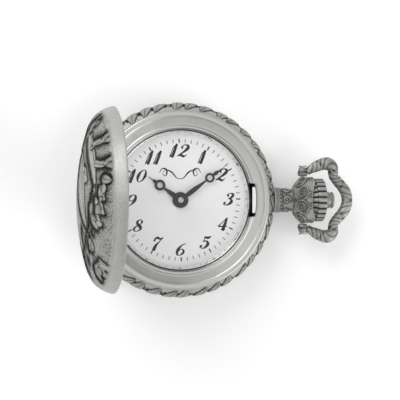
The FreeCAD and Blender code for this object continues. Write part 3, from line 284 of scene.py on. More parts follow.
class Relief:
    """Raised ornament over a flat map of points, in millimetres."""

    def __init__(self, across, along):
        self.x, self.y = across, along
        self.height = np.zeros_like(across)
        self.gap = np.full_like(across, 9.0)
        self.dark = np.zeros_like(across)

    def lay(self, distance, height, crease, edge=0.1):
        """Lay one element on top of what is there; distance is negative inside it."""
        inside = distance < 0
        rim = fading(distance, edge)
        self.dark = np.where(inside, np.maximum(crease, rim * 0.9), np.maximum(self.dark, rim))
        self.height = np.where(inside, np.maximum(height, self.height * 0.35), self.height)
        self.gap = np.minimum(self.gap, distance)

    def limb(self, points, widths, rise, bark=0.0):
        """A tapering round branch that curves through the points."""
        line = smooth_line([(*point, width) for point, width in zip(points, widths)], 4)
        points, widths = line[:, :2], line[:, 2]
        best = np.full_like(self.x, 9.0)
        radius = np.ones_like(self.x)
        flow = np.zeros_like(self.x)
        for (start, end), (first, last) in zip(zip(points, points[1:]), zip(widths, widths[1:])):
            step = (end[0] - start[0], end[1] - start[1])
            length = step[0] ** 2 + step[1] ** 2
            part = np.clip(((self.x - start[0]) * step[0] + (self.y - start[1]) * step[1]) / length, 0, 1)
            off_x, off_y = self.x - start[0] - step[0] * part, self.y - start[1] - step[1] * part
            width = first + (last - first) * part
            away = np.hypot(off_x, off_y)
            nearer = away - width < best
            best = np.where(nearer, away - width, best)
            radius = np.where(nearer, width, radius)
            side = (off_x * step[1] - off_y * step[0]) / math.sqrt(length)
            flow = np.where(nearer, side / width, flow)
        fall = np.clip(1 + best / radius, 0, 1)
        crease = bark * np.clip(np.cos(flow * 7.0), 0, 1) ** 6
        self.lay(best, rise * np.sqrt(1 - fall * fall) * (1 - 0.3 * crease), crease)

    def berry(self, x, y, radius, rise):
        """A round berry or bead."""
        away = np.hypot(self.x - x, self.y - y)
        dome = np.sqrt(np.clip(1 - (away / radius) ** 2, 0, 1))
        self.lay(away - radius, rise * dome, np.zeros_like(away))

    def fork(self, x, y, turn, length, width, rise):
        """The split end of a branch; turn is in degrees."""
        half_angle = 23.0
        bark, flare = 0.8, 1.1
        for heading in (math.radians(turn - half_angle), math.radians(turn + half_angle)):
            tip = (x + length * math.cos(heading), y + length * math.sin(heading))
            self.limb([(x, y), tip], [width, width * flare], rise, bark)

    def leaf(self, x, y, turn, length, width, rise, veins=5, curl=0.0):
        """A pointed leaf with a middle vein and side veins; turn is in degrees."""
        cosine, sine = math.cos(math.radians(turn)), math.sin(math.radians(turn))
        along = ((self.x - x) * cosine + (self.y - y) * sine) / length
        across = -(self.x - x) * sine + (self.y - y) * cosine
        across = across - curl * along * along * length
        inner = np.clip(along, 0.0, 1.0)
        half = width * np.sin(math.pi * inner ** 0.75) ** 0.8 + 0.02
        beyond = np.maximum(np.maximum(-along, along - 1), 0) * length
        distance = np.where(beyond > 0, np.hypot(across, beyond), np.abs(across) - half)
        swell = np.sqrt(np.clip(1 - (across / half) ** 2, 0, 1))
        middle = fading(across, 0.07)
        slant = (inner * veins - np.abs(across) / width * 0.9) % 1.0 - 0.5
        side = fading(slant, 0.13) * np.clip(np.abs(across) / half, 0, 1)
        crease = np.clip(middle + side * 0.6, 0, 1)
        self.lay(distance, rise * (0.35 + 0.65 * swell) * (1 - 0.35 * crease), crease * 0.75)

    def scroll(self, x, y, radius, turns, start, way, width, rise):
        """A spiral scroll that ends in a round eye."""
        steps = 22
        points, widths = [], []
        for step in range(steps):
            part = step / (steps - 1)
            reach = radius * (1 - 0.8 * part)
            angle = math.radians(start) + way * TURN * turns * part
            points.append((x + reach * math.cos(angle), y + reach * math.sin(angle)))
            widths.append(width * (1.15 - 0.5 * part))
        self.limb(points, widths, rise)
        self.berry(*points[-1], width * 1.25, rise * 1.15)

    def patina(self, ground, fade):
        """How dark each point is: creases, raised edges and the ground close to them."""
        shade = ground + (1 - ground) * fading(np.maximum(self.gap, 0), fade)
        return np.where(self.gap < 0, self.dark, np.maximum(self.dark, shade))

    def soft_height(self):
        """The height with its edges eased, so that no wall is upright."""
        return self.height * np.clip(-self.gap / 0.12, 0, 1) ** 0.5


# ---------------------------------------------------------------- material helpers

class Finish:
    """A procedural material under construction."""

    def __init__(self, name):
        self.material = bpy.data.materials.new(name)
        self.material.use_nodes = True
        self.tree = self.material.node_tree
        self.tree.nodes.clear()
        self.output = self.add("ShaderNodeOutputMaterial")
        self.place = self.add("ShaderNodeTexCoord").outputs["Object"]

    def add(self, kind, **inputs):
        """A node with constant inputs, named with underscores for spaces."""
        made = self.tree.nodes.new(kind)
        for key, value in inputs.items():
            made.inputs[key.replace("_", " ")].default_value = value
        return made

    def link(self, source, target):
        """Join two sockets."""
        self.tree.links.new(source, target)

    def noise(self, per_mm, detail=3.0, vector=None):
        """Soft noise with the given number of features per millimetre."""
        made = self.add("ShaderNodeTexNoise", Scale=per_mm / MM, Detail=detail)
        self.link(vector or self.place, made.inputs["Vector"])
        return made.outputs["Fac"]

    def spread(self, source, low, high, start=0.3, end=0.7):
        """A value mapped from start..end to low..high."""
        made = self.add("ShaderNodeMapRange", From_Min=start, From_Max=end, To_Min=low, To_Max=high)
        self.link(source, made.inputs["Value"])
        return made.outputs["Result"]

    def combine(self, operation, first, second):
        """Arithmetic on two values; the second may be a plain number."""
        made = self.add("ShaderNodeMath")
        made.operation = operation
        made.use_clamp = operation in ("ADD", "SUBTRACT", "MULTIPLY")
        self.link(first, made.inputs[0])
        if isinstance(second, float):
            made.inputs[1].default_value = second
        else:
            self.link(second, made.inputs[1])
        return made.outputs["Value"]

    def blend(self, factor, first, second):
        """A colour between two constant colours."""
        ramp = self.add("ShaderNodeValToRGB")
        ramp.color_ramp.elements[0].color = (*first, 1.0)
        ramp.color_ramp.elements[1].color = (*second, 1.0)
        self.link(factor, ramp.inputs["Fac"])
        return ramp.outputs["Color"]

    def radius(self):
        """Distance from the watch's upright axis, as a vector for ring-shaped noise."""
        parts = self.add("ShaderNodeSeparateXYZ")
        self.link(self.place, parts.inputs["Vector"])
        squares = [self.combine("POWER", parts.outputs[axis], 2.0) for axis in "XY"]
        root = self.combine("SQRT", self.combine("ADD", *squares), 0.5)
        joined = self.add("ShaderNodeCombineXYZ")
        self.link(root, joined.inputs["X"])
        self.link(parts.outputs["Z"], joined.inputs["Z"])
        return joined.outputs["Vector"]

    def bump(self, source, depth_mm, strength=1.0, under=None):
        """A bump of the given depth."""
        made = self.add("ShaderNodeBump", Strength=strength, Distance=depth_mm * MM)
        self.link(source, made.inputs["Height"])
        if under is not None:
            self.link(under, made.inputs["Normal"])
        return made.outputs["Normal"]

    def surface(self, colour, roughness, normal=None, **constants):
        """The main shader, joined to the output."""
        shader = self.add("ShaderNodeBsdfPrincipled", **constants)
        self.link(colour, shader.inputs["Base Color"])
        self.link(roughness, shader.inputs["Roughness"])
        if normal is not None:
            self.link(normal, shader.inputs["Normal"])
        self.link(shader.outputs["BSDF"], self.output.inputs["Surface"])
        return self.material


def antique_pewter():
    """Cast pewter: bright on raised places, blackened in the recesses, with a stippled ground."""
    finish = Finish("antique_pewter")
    recess = finish.add("ShaderNodeAttribute")
    recess.attribute_name = "recess"
    ground = finish.add("ShaderNodeAttribute")
    ground.attribute_name = "ground"
    speckle = finish.noise(4.5, 4.0)
    cloud = finish.noise(0.35, 3.0)
    dirt = finish.combine("ADD", recess.outputs["Fac"], finish.spread(cloud, 0.0, 0.12))
    grain = finish.combine("MULTIPLY", ground.outputs["Fac"], finish.spread(speckle, 0.0, 0.6, 0.44, 0.64))
    dark = finish.combine("ADD", dirt, grain)
    colour = finish.blend(dark, (0.5, 0.5, 0.48), (0.018, 0.018, 0.017))
    roughness = finish.spread(dark, 0.54, 0.66, 0.0, 1.0)
    relief = finish.bump(finish.combine("MULTIPLY", ground.outputs["Fac"], speckle), 0.08, 0.8)
    normal = finish.bump(finish.noise(1.6, 5.0), 0.03, 0.5, relief)
    return finish.surface(colour, roughness, normal, Metallic=1.0)


def satin_pewter():
    """Lathe-brushed pewter: fine rings round the watch's axis."""
    finish = Finish("satin_pewter")
    rings = finish.noise(3.5, 2.0, finish.radius())
    cloud = finish.noise(0.3, 4.0)
    colour = finish.blend(finish.combine("MULTIPLY", rings, cloud), (0.55, 0.55, 0.53), (0.69, 0.69, 0.67))
    roughness = finish.spread(cloud, 0.26, 0.36)
    normal = finish.bump(rings, 0.004, 0.25)
    return finish.surface(colour, roughness, normal, Metallic=1.0)


def tumbled_pewter():
    """Hand-polished pewter for the lid's knuckle and its web, with faint scuffs."""
    finish = Finish("tumbled_pewter")
    scuff = finish.noise(2.2, 6.0)
    cloud = finish.noise(0.4, 3.0)
    colour = finish.blend(cloud, (0.58, 0.57, 0.54), (0.7, 0.69, 0.665))
    roughness = finish.spread(scuff, 0.2, 0.34)
    normal = finish.bump(scuff, 0.01, 0.35)
    return finish.surface(colour, roughness, normal, Metallic=1.0)


def even(name, grain, dull, bright, polish, bump, **constants):
    """A finish whose tone, polish and bumps all follow one noise."""
    finish = Finish(name)
    noise = finish.noise(*grain)
    colour = finish.blend(noise, dull, bright)
    return finish.surface(colour, finish.spread(noise, *polish), finish.bump(noise, *bump), **constants)


def machined(name, dull, bright, low, high, metallic=1.0):
    """A worked metal with uneven tone and fine grain."""
    finish = Finish(name)
    grain = finish.noise(5.0, 5.0)
    cloud = finish.noise(0.6, 3.0)
    colour = finish.blend(cloud, dull, bright)
    roughness = finish.spread(grain, low, high)
    return finish.surface(colour, roughness, finish.bump(grain, 0.008, 0.4), Metallic=metallic)


def clear_glass():
    """The watch glass: see-through, with reflections that grow towards its edge."""
    finish = Finish("glass")
    clear = finish.add("ShaderNodeBsdfTransparent", Color=(0.99, 0.99, 0.99, 1.0))
    gloss = finish.add("ShaderNodeBsdfAnisotropic", Color=(0.96, 0.97, 0.97, 1.0))
    smear = finish.noise(0.25, 4.0)
    finish.link(finish.spread(smear, 0.01, 0.035), gloss.inputs["Roughness"])
    edge = finish.add("ShaderNodeFresnel", IOR=1.5)
    side = finish.add("ShaderNodeNewGeometry")
    share = finish.combine("SUBTRACT", edge.outputs["Fac"], side.outputs["Backfacing"])
    finish.link(finish.bump(smear, 0.002, 0.2), gloss.inputs["Normal"])
    mixed = finish.add("ShaderNodeMixShader")
    finish.link(share, mixed.inputs["Fac"])
    finish.link(clear.outputs["BSDF"], mixed.inputs[1])
    finish.link(gloss.outputs["BSDF"], mixed.inputs[2])
    finish.link(mixed.outputs["Shader"], finish.output.inputs["Surface"])
    return finish.material


def dial_enamel():
    """White dial lacquer with a faint orange peel."""
    finish = Finish("dial_white")
    cloud = finish.noise(0.3, 3.0)
    peel = finish.noise(1.8, 2.0)
    colour = finish.blend(cloud, (0.9, 0.9, 0.9), (0.93, 0.93, 0.93))
    roughness = finish.spread(peel, 0.32, 0.42)
    return finish.surface(colour, roughness, finish.bump(peel, 0.002, 0.2))


def plain(name, dark, light, low, high):
    """A non-metal with uneven tone and a light texture."""
    return machined(name, dark, light, low, high, metallic=0.0)


MATERIALS = {
    "antique_pewter": antique_pewter(),
    "satin_pewter": satin_pewter(),
    "polished_steel": even("polished_steel", (3.0, 6.0), (0.8, 0.8, 0.8), (0.9, 0.9, 0.89),
                           (0.06, 0.16), (0.004, 0.3), Metallic=1.0),
    "steel": machined("steel", (0.42, 0.43, 0.44), (0.55, 0.56, 0.57), 0.22, 0.38),
    "spring_steel": machined("spring_steel", (0.2, 0.22, 0.28), (0.3, 0.33, 0.4), 0.22, 0.34),
    "glass": clear_glass(),
    "dial_white": dial_enamel(),
    "hand_black": even("hand_black", (1.0, 4.0), (0.008, 0.008, 0.009), (0.02, 0.02, 0.022),
                       (0.3, 0.45), (0.004, 0.3), Specular_IOR_Level=0.3),
    "brass": machined("brass", (0.62, 0.43, 0.16), (0.75, 0.55, 0.24), 0.22, 0.36),
    "nickel": machined("nickel", (0.56, 0.54, 0.5), (0.68, 0.66, 0.62), 0.2, 0.34),
    "copper_wire": machined("copper_wire", (0.5, 0.2, 0.09), (0.68, 0.3, 0.15), 0.28, 0.42),
    "black_rubber": plain("black_rubber", (0.015, 0.015, 0.015), (0.035, 0.035, 0.035), 0.6, 0.8),
    "white_plastic": plain("white_plastic", (0.66, 0.66, 0.63), (0.76, 0.76, 0.74), 0.4, 0.55),
    "green_board": plain("green_board", (0.02, 0.12, 0.05), (0.04, 0.2, 0.08), 0.35, 0.5),
    "black_resin": plain("black_resin", (0.012, 0.012, 0.014), (0.03, 0.03, 0.034), 0.3, 0.5),
    "cell_can": machined("cell_can", (0.6, 0.6, 0.59), (0.72, 0.72, 0.7), 0.16, 0.3),
}
TUMBLED = tumbled_pewter()
INK = even("printing_ink", (1.4, 4.0), (0.006, 0.006, 0.006), (0.014, 0.014, 0.015),
           (0.6, 0.8), (0.002, 0.2), Specular_IOR_Level=0.2)
AGED = machined("aged_pewter", (0.3, 0.3, 0.29), (0.44, 0.44, 0.42), 0.36, 0.5)


# ---------------------------------------------------------------- the lid

LID_RADIUS = 16.35
LID_BASE = BEZEL_TOP + 0.05
LID_SHOULDER, LID_SHOULDER_RISE = 13.0, 3.95
LID_RISE = 5.9
LID_WALL = 0.75
LID_SIDE_ARC, LINING_SIDE_ARC = 4.80, 4.38
RELIEF_EDGE = 15.5
LID_SWING = Matrix.Rotation(math.radians(LID_ANGLE), 4, (0, -1, 0))
CLOSED_TO_REST = Matrix.Translation(HINGE) @ LID_SWING @ Matrix.Translation(-HINGE)


def swing_open(points):
    """Points of the closed lid, moved to where the lid stands at rest."""
    turn = np.array(CLOSED_TO_REST)
    return points @ turn[:3, :3].T + turn[:3, 3]


def clear_knuckles(points):
    """Push the lid's rim back from the band's knuckles."""
    room, half_room = 0.95, 4.1
    off = points[..., [0, 2]] - np.array([HINGE.x, HINGE.z])
    away = np.maximum(np.hypot(off[..., 0], off[..., 1]), 1e-6)
    push = np.where((away < room) & (np.abs(points[..., 1]) < half_room), room / away, 1.0)
    points[..., 0] = HINGE.x + off[..., 0] * push
    points[..., 2] = HINGE.z + off[..., 1] * push
    return points


def cap_radius(across, rise):
    """Radius of the sphere whose cap has that half-width and rise."""
    return (across * across + rise * rise) / (2.0 * rise)


def dome_outline(shoulder, shoulder_height, top, edge, side_radius, spacing):
    """Half of the dome from its top to its edge, as (radius, height)."""
    cap = cap_radius(shoulder, top - shoulder_height)
    steps = int(shoulder / spacing)
    radii = np.linspace(0.02, shoulder, steps)
    crown = [(radius, top - cap + math.sqrt(cap * cap - radius * radius)) for radius in radii]
    side = arc_points((shoulder, shoulder_height), edge, -side_radius, int(5.4 / spacing))
    return crown + side[1:]


def branch_relief(relief):
    """A fruiting branch with leaves, as it lies on the closed lid; the free end is at +X."""
    rise = 0.5
    # broad petals and leaves behind the branch
    relief.leaf(-2.6, 8.6, -62.0, 15.5, 3.0, rise * 0.8, veins=9)
    relief.leaf(-7.5, 9.5, -95.0, 8.0, 2.0, rise * 0.8, veins=6)
    for turn in (-150.0, -120.0, -92.0, -64.0, -36.0):
        relief.leaf(-9.6, -0.6, turn, 5.4, 1.5, rise * 0.85, veins=4)
    relief.leaf(-12.6, 2.4, -60.0, 7.0, 1.8, rise * 0.8)
    relief.leaf(-6.5, -11.5, 160.0, 6.0, 1.5, rise * 0.8)
    # trunk, main branches and their forked ends
    relief.limb([(-13.6, 4.2), (-9.0, 7.2), (-4.8, 8.4), (0.6, 12.2)], [0.6, 0.7, 0.8, 0.95], rise, 0.8)
    relief.limb([(0.6, 12.2), (4.4, 9.1), (7.8, 6.0), (9.4, 3.1)], [1.1, 1.45, 1.4, 0.6], rise, 0.8)
    relief.limb([(0.6, 12.2), (2.6, 13.2)], [0.8, 0.7], rise, 0.8)
    relief.limb([(4.6, 9.2), (7.6, 9.8), (9.6, 10.0)], [0.7, 0.55, 0.6], rise, 0.9)
    relief.limb([(8.4, 6.2), (11.0, 6.0), (12.6, 6.2)], [0.7, 0.6, 0.65], rise, 0.9)
    relief.limb([(-4.8, 8.4), (-6.2, 11.0), (-5.4, 13.4)], [0.55, 0.45, 0.35], rise, 0.8)
    relief.fork(2.6, 13.2, 24.0, 2.3, 0.45, rise)
    relief.fork(9.4, 10.0, 30.0, 2.0, 0.42, rise)
    relief.fork(12.3, 6.2, 10.0, 1.9, 0.42, rise)
    # stems that hang from the branch
    relief.limb([(9.8, 3.1), (8.0, -0.5), (6.3, -4.8), (6.4, -8.8)], [0.32, 0.28, 0.26, 0.22], rise * 0.9)
    relief.limb([(6.3, -4.8), (1.5, -8.2), (-4.8, -10.3)], [0.32, 0.3, 0.26], rise * 0.9)
    relief.limb([(-9.0, 7.2), (-10.4, 1.0), (-9.2, -4.8), (-5.6, -9.4)], [0.4, 0.34, 0.3, 0.24], rise * 0.9)
    # leaves
    leaves = (
        (11.2, 2.2, -42.0, 3.4, 1.1), (8.4, -0.4, -118.0, 2.9, 0.95), (10.6, -0.2, -38.0, 3.6, 1.1),
        (10.4, -0.6, -78.0, 3.2, 1.0), (7.4, -2.4, -40.0, 4.2, 0.9), (6.2, -6.8, -135.0, 2.8, 1.2),
        (6.6, -10.6, -62.0, 3.6, 1.2), (6.0, -10.8, -105.0, 3.6, 1.1), (7.6, -10.4, -28.0, 3.4, 1.0),
        (3.4, 11.4, -60.0, 2.4, 0.8), (-4.0, -9.8, 120.0, 4.2, 1.2), (0.8, -8.0, 84.0, 3.6, 1.1),
        (-1.6, -9.4, -62.0, 4.4, 1.3), (-7.2, -7.4, 60.0, 3.8, 1.1), (-5.6, 12.6, 130.0, 2.6, 0.8),
        (-11.6, 7.6, 120.0, 3.2, 1.0), (1.4, 5.0, -20.0, 4.6, 1.4), (12.2, 3.6, -8.0, 2.6, 0.8),
        (9.0, -3.0, -20.0, 3.6, 1.0),
    )
    for x, y, turn, length, width in leaves:
        relief.leaf(x, y, turn, length, width, rise, veins=4)
    # berries and one round leaf
    berries = (
        (13.0, 1.9, 0.85), (9.4, 1.6, 0.7), (10.2, -0.1, 0.7), (11.9, 0.1, 0.6), (8.9, -3.2, 0.6),
        (6.3, -7.9, 0.95), (6.4, -12.2, 0.75), (8.2, -5.4, 0.5), (-3.2, -11.6, 0.6), (-10.8, 3.2, 0.6),
        (-9.6, -0.6, 0.8), (2.4, -10.4, 0.55), (-2.6, 12.6, 0.6),
    )
    for x, y, radius in berries:
        relief.berry(x, y, radius, rise * 1.2)


def make_lid():
    """The domed lid: relief outside, satin inside, and its hinge knuckle."""
    base, shoulder = LID_BASE, LID_BASE + LID_SHOULDER_RISE
    top = LID_BASE + LID_RISE
    spacing = 0.125
    outline = dome_outline(LID_SHOULDER, shoulder, top, (LID_RADIUS, base + 0.12), LID_SIDE_ARC, spacing)
    outline += [(LID_RADIUS - 0.04, base + 0.03), (LID_RADIUS - 0.13, base), (LID_RADIUS - LID_WALL, base)]
    shell = Turned(outline, 520)
    relief = Relief(shell.radius * np.cos(shell.angle), shell.radius * np.sin(shell.angle))
    branch_relief(relief)
    ease, sink, groove_depth, rim_height = 0.45, 0.07, 0.05, 0.3
    above_rim = shell.height > base + rim_height
    inner = np.clip((RELIEF_EDGE - shell.radius) / ease, 0, 1) * above_rim
    groove = fading(shell.radius - RELIEF_EDGE, 0.1) * above_rim
    shell.raise_by(relief.soft_height() * inner - sink * inner - groove_depth * groove)
    dark = np.maximum(relief.patina(0.1, 0.75) * inner, groove * 0.12)
    ground = np.where(relief.gap > 0, 1.0, 0.15) * inner + 0.25 * (1 - inner)
    points = swing_open(clear_knuckles(shell.about_z()))
    layers = shading(dark, ground)
    made = add_piece("lid_shell", points, shell.faces(False), "lid", "antique_pewter", layers)
    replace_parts(made, "front_lid")
    make_lid_lining(base, shoulder, top)
    make_lid_knuckle()


def make_lid_lining(base, shoulder, top):
    """The smooth hollow of the lid, with a stepped seat round its edge."""
    inner = dome_outline(LID_SHOULDER - 0.35, shoulder - LID_WALL, top - LID_WALL,
                         (LID_RADIUS - LID_WALL, base + 0.5), LINING_SIDE_ARC, 0.3)
    inner += [(LID_RADIUS - LID_WALL + 0.05, base + 0.45), (LID_RADIUS - LID_WALL, base)]
    lining = Turned(inner, 256)
    ring_pitch, ring_shift, ring_width, ring_height = 3.0, 0.6, 0.12, 0.02
    off_ring = (lining.radius + ring_shift) % ring_pitch - ring_pitch * 0.5
    lining.raise_by(ring_height * fading(off_ring, ring_width))
    points = swing_open(clear_knuckles(lining.about_z()))
    add_piece("lid_lining", points, lining.faces(False), "lid", "satin_pewter")


def turned_on_y(outline, columns, centre):
    """Points of an outline of (radius, along Y) turned about a line beside the watch."""
    field = Turned(outline, columns)
    across, up = field.radius * np.cos(field.angle), field.radius * np.sin(field.angle)
    points = np.stack([across + centre[0], field.height, up + centre[1]], axis=-1)
    return points, field.faces()


def make_lid_knuckle():
    """The lid's own knuckle and the web that joins it to the rim."""
    radius, half, bore, web_reach, web_half = 0.75, 1.3, 0.39, 1.2, 0.35
    outline = rounded([(bore, -half), (radius, -half), (radius, half), (bore, half)], 0.12)
    points, faces = turned_on_y(outline, 48, (HINGE.x, HINGE.z))
    add_piece("lid_knuckle", swing_open(points), faces, "lid", "satin_pewter", finish=TUMBLED)
    web = rounded([(0.5, -web_half), (web_reach, -web_half), (web_reach, web_half), (0.5, web_half)], 0.1)
    stations = [-half + 0.05, -half + 0.12, half - 0.12, half - 0.05]
    easing = [0.85, 1.0, 1.0, 0.85]
    points = [[HINGE.x + x, y, HINGE.z + z * ease] for y, ease in zip(stations, easing) for x, z in web]
    faces = tube_faces(len(stations), len(web))
    add_piece("lid_web", swing_open(np.array(points)), faces, "lid", "satin_pewter", finish=TUMBLED)


# ---------------------------------------------------------------- the case

def make_band_relief():
    """Overlapping slanted leaves all round the bulge of the band."""
    skin = 0.03
    waist, shoulder = 16.4 + skin, 3.05
    lower = arc_points((waist, shoulder), (18.0 + skin, 6.0), 3.6, 40)
    upper = arc_points((18.0 + skin, 6.0), (16.78 + skin, 8.66), 3.4, 34)
    outline = [(waist - 0.4, shoulder + 0.1)] + lower + upper[1:] + [(16.45, 8.72)]
    field = Turned(outline, 1050)
    middle_radius = 17.4
    relief = Relief(field.angle * middle_radius, field.along - field.along.max() * 0.5)
    around = TURN * middle_radius
    cells = 38
    pitch = around / cells
    for cell in range(-1, cells + 2):
        left = cell * pitch
        tilt = 52.0 + 9.0 * math.sin(cell * 2.3)
        relief.leaf(left, -3.25, tilt, 4.7, 1.15, 0.24, veins=6, curl=0.05)
        relief.leaf(left + pitch * 0.5, -0.3, tilt + 15.0, 4.2, 1.1, 0.26, veins=6, curl=-0.04)
        relief.berry(left + pitch * 0.9, -1.6 + 0.5 * math.sin(cell * 1.7), 0.28, 0.26)
    edge = np.clip(np.minimum(field.along, field.along.max() - field.along) / 0.35 - 0.6, 0, 1)
    field.raise_by(relief.soft_height() * edge - 0.02)
    dark = np.clip(relief.patina(0.26, 0.3) + 0.08, 0, 1) * edge
    layers = shading(dark, np.where(relief.gap > 0, 0.6, 0.35))
    add_piece("band_relief", field.about_z(), field.faces(False), "case", "antique_pewter", layers)


def make_bezel():
    """The turned ring round the glass, open at the window for the catch."""
    top, foot_bore = BEZEL_TOP, 14.28
    corners = [
        (BEZEL_RADIUS, BAND_TOP), (BEZEL_RADIUS, top - 0.12), (BEZEL_RADIUS - 0.14, top),
        (BEZEL_RADIUS - 0.9, top), (BEZEL_RADIUS - 1.02, top - 0.14), (BEZEL_RADIUS - 2.7, top - 0.5),
        (BEZEL_RADIUS - 2.77, top - 0.3), (BEZEL_RADIUS - 3.24, top - 0.3), (BEZEL_RADIUS - 3.3, top - 0.6),
        (BEZEL_RADIUS - 3.62, top - 0.68), (BEZEL_RADIUS - 3.62, top - 1.4), (foot_bore, top - 1.4),
        (foot_bore, BAND_TOP),
    ]
    ring = Turned(dense(rounded(corners, 0.1), 0.4, closed=True), 720)
    window_edge, half_window = 14.2, 3.1
    side = np.abs(ring.radius * np.sin(ring.angle))
    opened = (side < half_window) & (np.cos(ring.angle) > 0) & (ring.radius < window_edge)
    ring.radius = np.where(opened, window_edge, ring.radius)
    made = add_piece("bezel", ring.about_z(), ring.faces(), "case", "satin_pewter")
    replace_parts(made, "bezel_ring")
    edges = made.modifiers.new("crisp", "EDGE_SPLIT")
    edges.split_angle = math.radians(38.0)


def make_glass_seat():
    """The sloping polished wall round the dial."""
    low, top = DIAL_TOP, CRYSTAL_LOW - 0.02
    seat_width, slope, gap = 0.75, 0.6, 0.005
    inner = -low_of("inner_ring").x - seat_width
    corners = [(inner, low + gap), (CRYSTAL_RADIUS, low + gap), (CRYSTAL_RADIUS, top), (inner + slope, top)]
    ring = Turned(rounded(corners, 0.06), 256)
    made = add_piece("glass_seat", ring.about_z(), ring.faces(), "case", "polished_steel")
    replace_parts(made, "inner_ring")


def make_glass():
    """The domed glass with its ground edge."""
    edge = CRYSTAL_LOW + 0.45
    bevel, bevel_rise = 0.25, 0.1
    rise = CRYSTAL_TOP - edge - bevel_rise
    dome = cap_radius(CRYSTAL_RADIUS - bevel, rise)
    radii = np.linspace(CRYSTAL_RADIUS - bevel, 0.02, 30)
    top = [(radius, CRYSTAL_TOP - dome + math.sqrt(dome * dome - radius * radius)) for radius in radii]
    outline = [(0.02, CRYSTAL_LOW), (CRYSTAL_RADIUS - 0.05, CRYSTAL_LOW), (CRYSTAL_RADIUS, CRYSTAL_LOW + 0.05),
               (CRYSTAL_RADIUS, edge)] + top
    glass = Turned(outline, 192)
    made = add_piece("watch_glass", glass.about_z(), glass.faces(), "case", "glass")
    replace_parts(made, "crystal")


def make_back():
    """The back cover: a ring of leaves round a small rosette, cut into the metal."""
    wall = 0.7
    rest, edge = 11.2, 2.3
    flat = [(radius, 0.0) for radius in np.linspace(0.02, rest, 110)]
    side = arc_points((rest, 0.0), (COVER_RADIUS, edge), 8.0, 42)
    outline = flat + side[1:]
    outline += [(COVER_RADIUS, COVER_EDGE - 0.08), (COVER_RADIUS - 0.08, COVER_EDGE)]
    outline += [(COVER_RADIUS - wall - 0.1, COVER_EDGE), (COVER_RADIUS - wall - 0.1, edge + 0.1)]
    outline += [(rest, wall), (0.02, wall)]
    dish = Turned(outline, 420)
    outer = (dish.height < edge) & (dish.along < rest + 6.2)
    across, depth = dish.radius * np.cos(dish.angle), dish.radius * np.sin(dish.angle)
    relief = Relief(across, depth)
    petals, wreath = 12, 24
    for petal in range(petals):
        turn = 360.0 * petal / petals
        heading = math.radians(turn)
        relief.leaf(1.2 * math.cos(heading), 1.2 * math.sin(heading), turn, 4.6, 0.85, 0.16, veins=5)
    relief.berry(0.0, 0.0, 1.1, 0.16)
    for sprig in range(wreath):
        turn = 360.0 * sprig / wreath
        heading = math.radians(turn)
        reach = 12.0
        relief.leaf(reach * math.cos(heading), reach * math.sin(heading), turn + 42.0, 3.8, 0.95, 0.16, veins=5)
        relief.berry(11.4 * math.cos(heading + 0.1), 11.4 * math.sin(heading + 0.1), 0.32, 0.16)
    ring_radii, ring_width = (8.6, 9.2), 0.12
    ring = sum(fading(dish.radius - radius, ring_width) for radius in ring_radii)
    zone = ((dish.radius < 6.4) | ((dish.radius > 10.9) & (dish.radius < 15.6))) & outer
    sunk = np.where(zone, 0.16 - relief.soft_height(), 0.08 * ring * outer)
    dish.raise_by(-np.clip(sunk, 0, 0.2) * outer)
    dark = np.where(zone, relief.patina(0.3, 0.5), ring * 0.7 * outer)
    layers = shading(dark, np.where(zone & (relief.gap > 0), 0.9, 0.1))
    made = add_piece("back_shell", dish.about_z(), dish.faces(False), "case", "antique_pewter", layers)
    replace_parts(made, "back_cover")


# ---------------------------------------------------------------- pendant, crown and bow

def make_neck():
    """The neck with its collar, small scrolls and a row of beads."""
    bore, neck, collar = 1.06, 2.15, 2.36
    start, neck_end, collar_start, collar_end = NECK_START, 21.7, 18.02, 19.1
    corners = [
        (bore, start), (1.83, start), (1.83, collar_start), (collar, collar_start), (collar, collar_end),
        (neck, collar_end), (neck, neck_end), (1.6, neck_end), (1.6, neck_end + 0.9), (bore, neck_end + 0.9),
    ]
    tube = Turned(dense(rounded(corners, 0.12), 0.09, closed=True), 200)
    relief = Relief(tube.angle * neck, tube.height)
    scrolls = 6
    for turn in range(-1, scrolls + 1):
        middle = (turn + 0.5) * TURN * neck / scrolls
        way = 1 if turn % 2 else -1
        relief.scroll(middle, 20.35, 0.72, 1.2, 90.0, way, 0.2, 0.26)
    beads = 20
    for bead in range(beads + 1):
        relief.berry(bead * TURN * neck / beads, 19.3, 0.24, 0.22)
    outside = (tube.radius > neck - 0.06) & (tube.height > collar_end + 0.03) & (tube.height < neck_end)
    tube.raise_by(relief.soft_height() * outside)
    groove_places, groove_width = (18.5, 18.8), 0.07
    collar_grooves = sum(fading(tube.height - place, groove_width) for place in groove_places)
    dark = np.where(outside, relief.patina(0.25, 0.3) * 0.7, 0.12 + 0.6 * np.clip(collar_grooves, 0, 1))
    made = add_piece("neck", tube.about_pendant(), tube.faces(), "case", "antique_pewter", shading(dark))
    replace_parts(made, "pendant_neck")


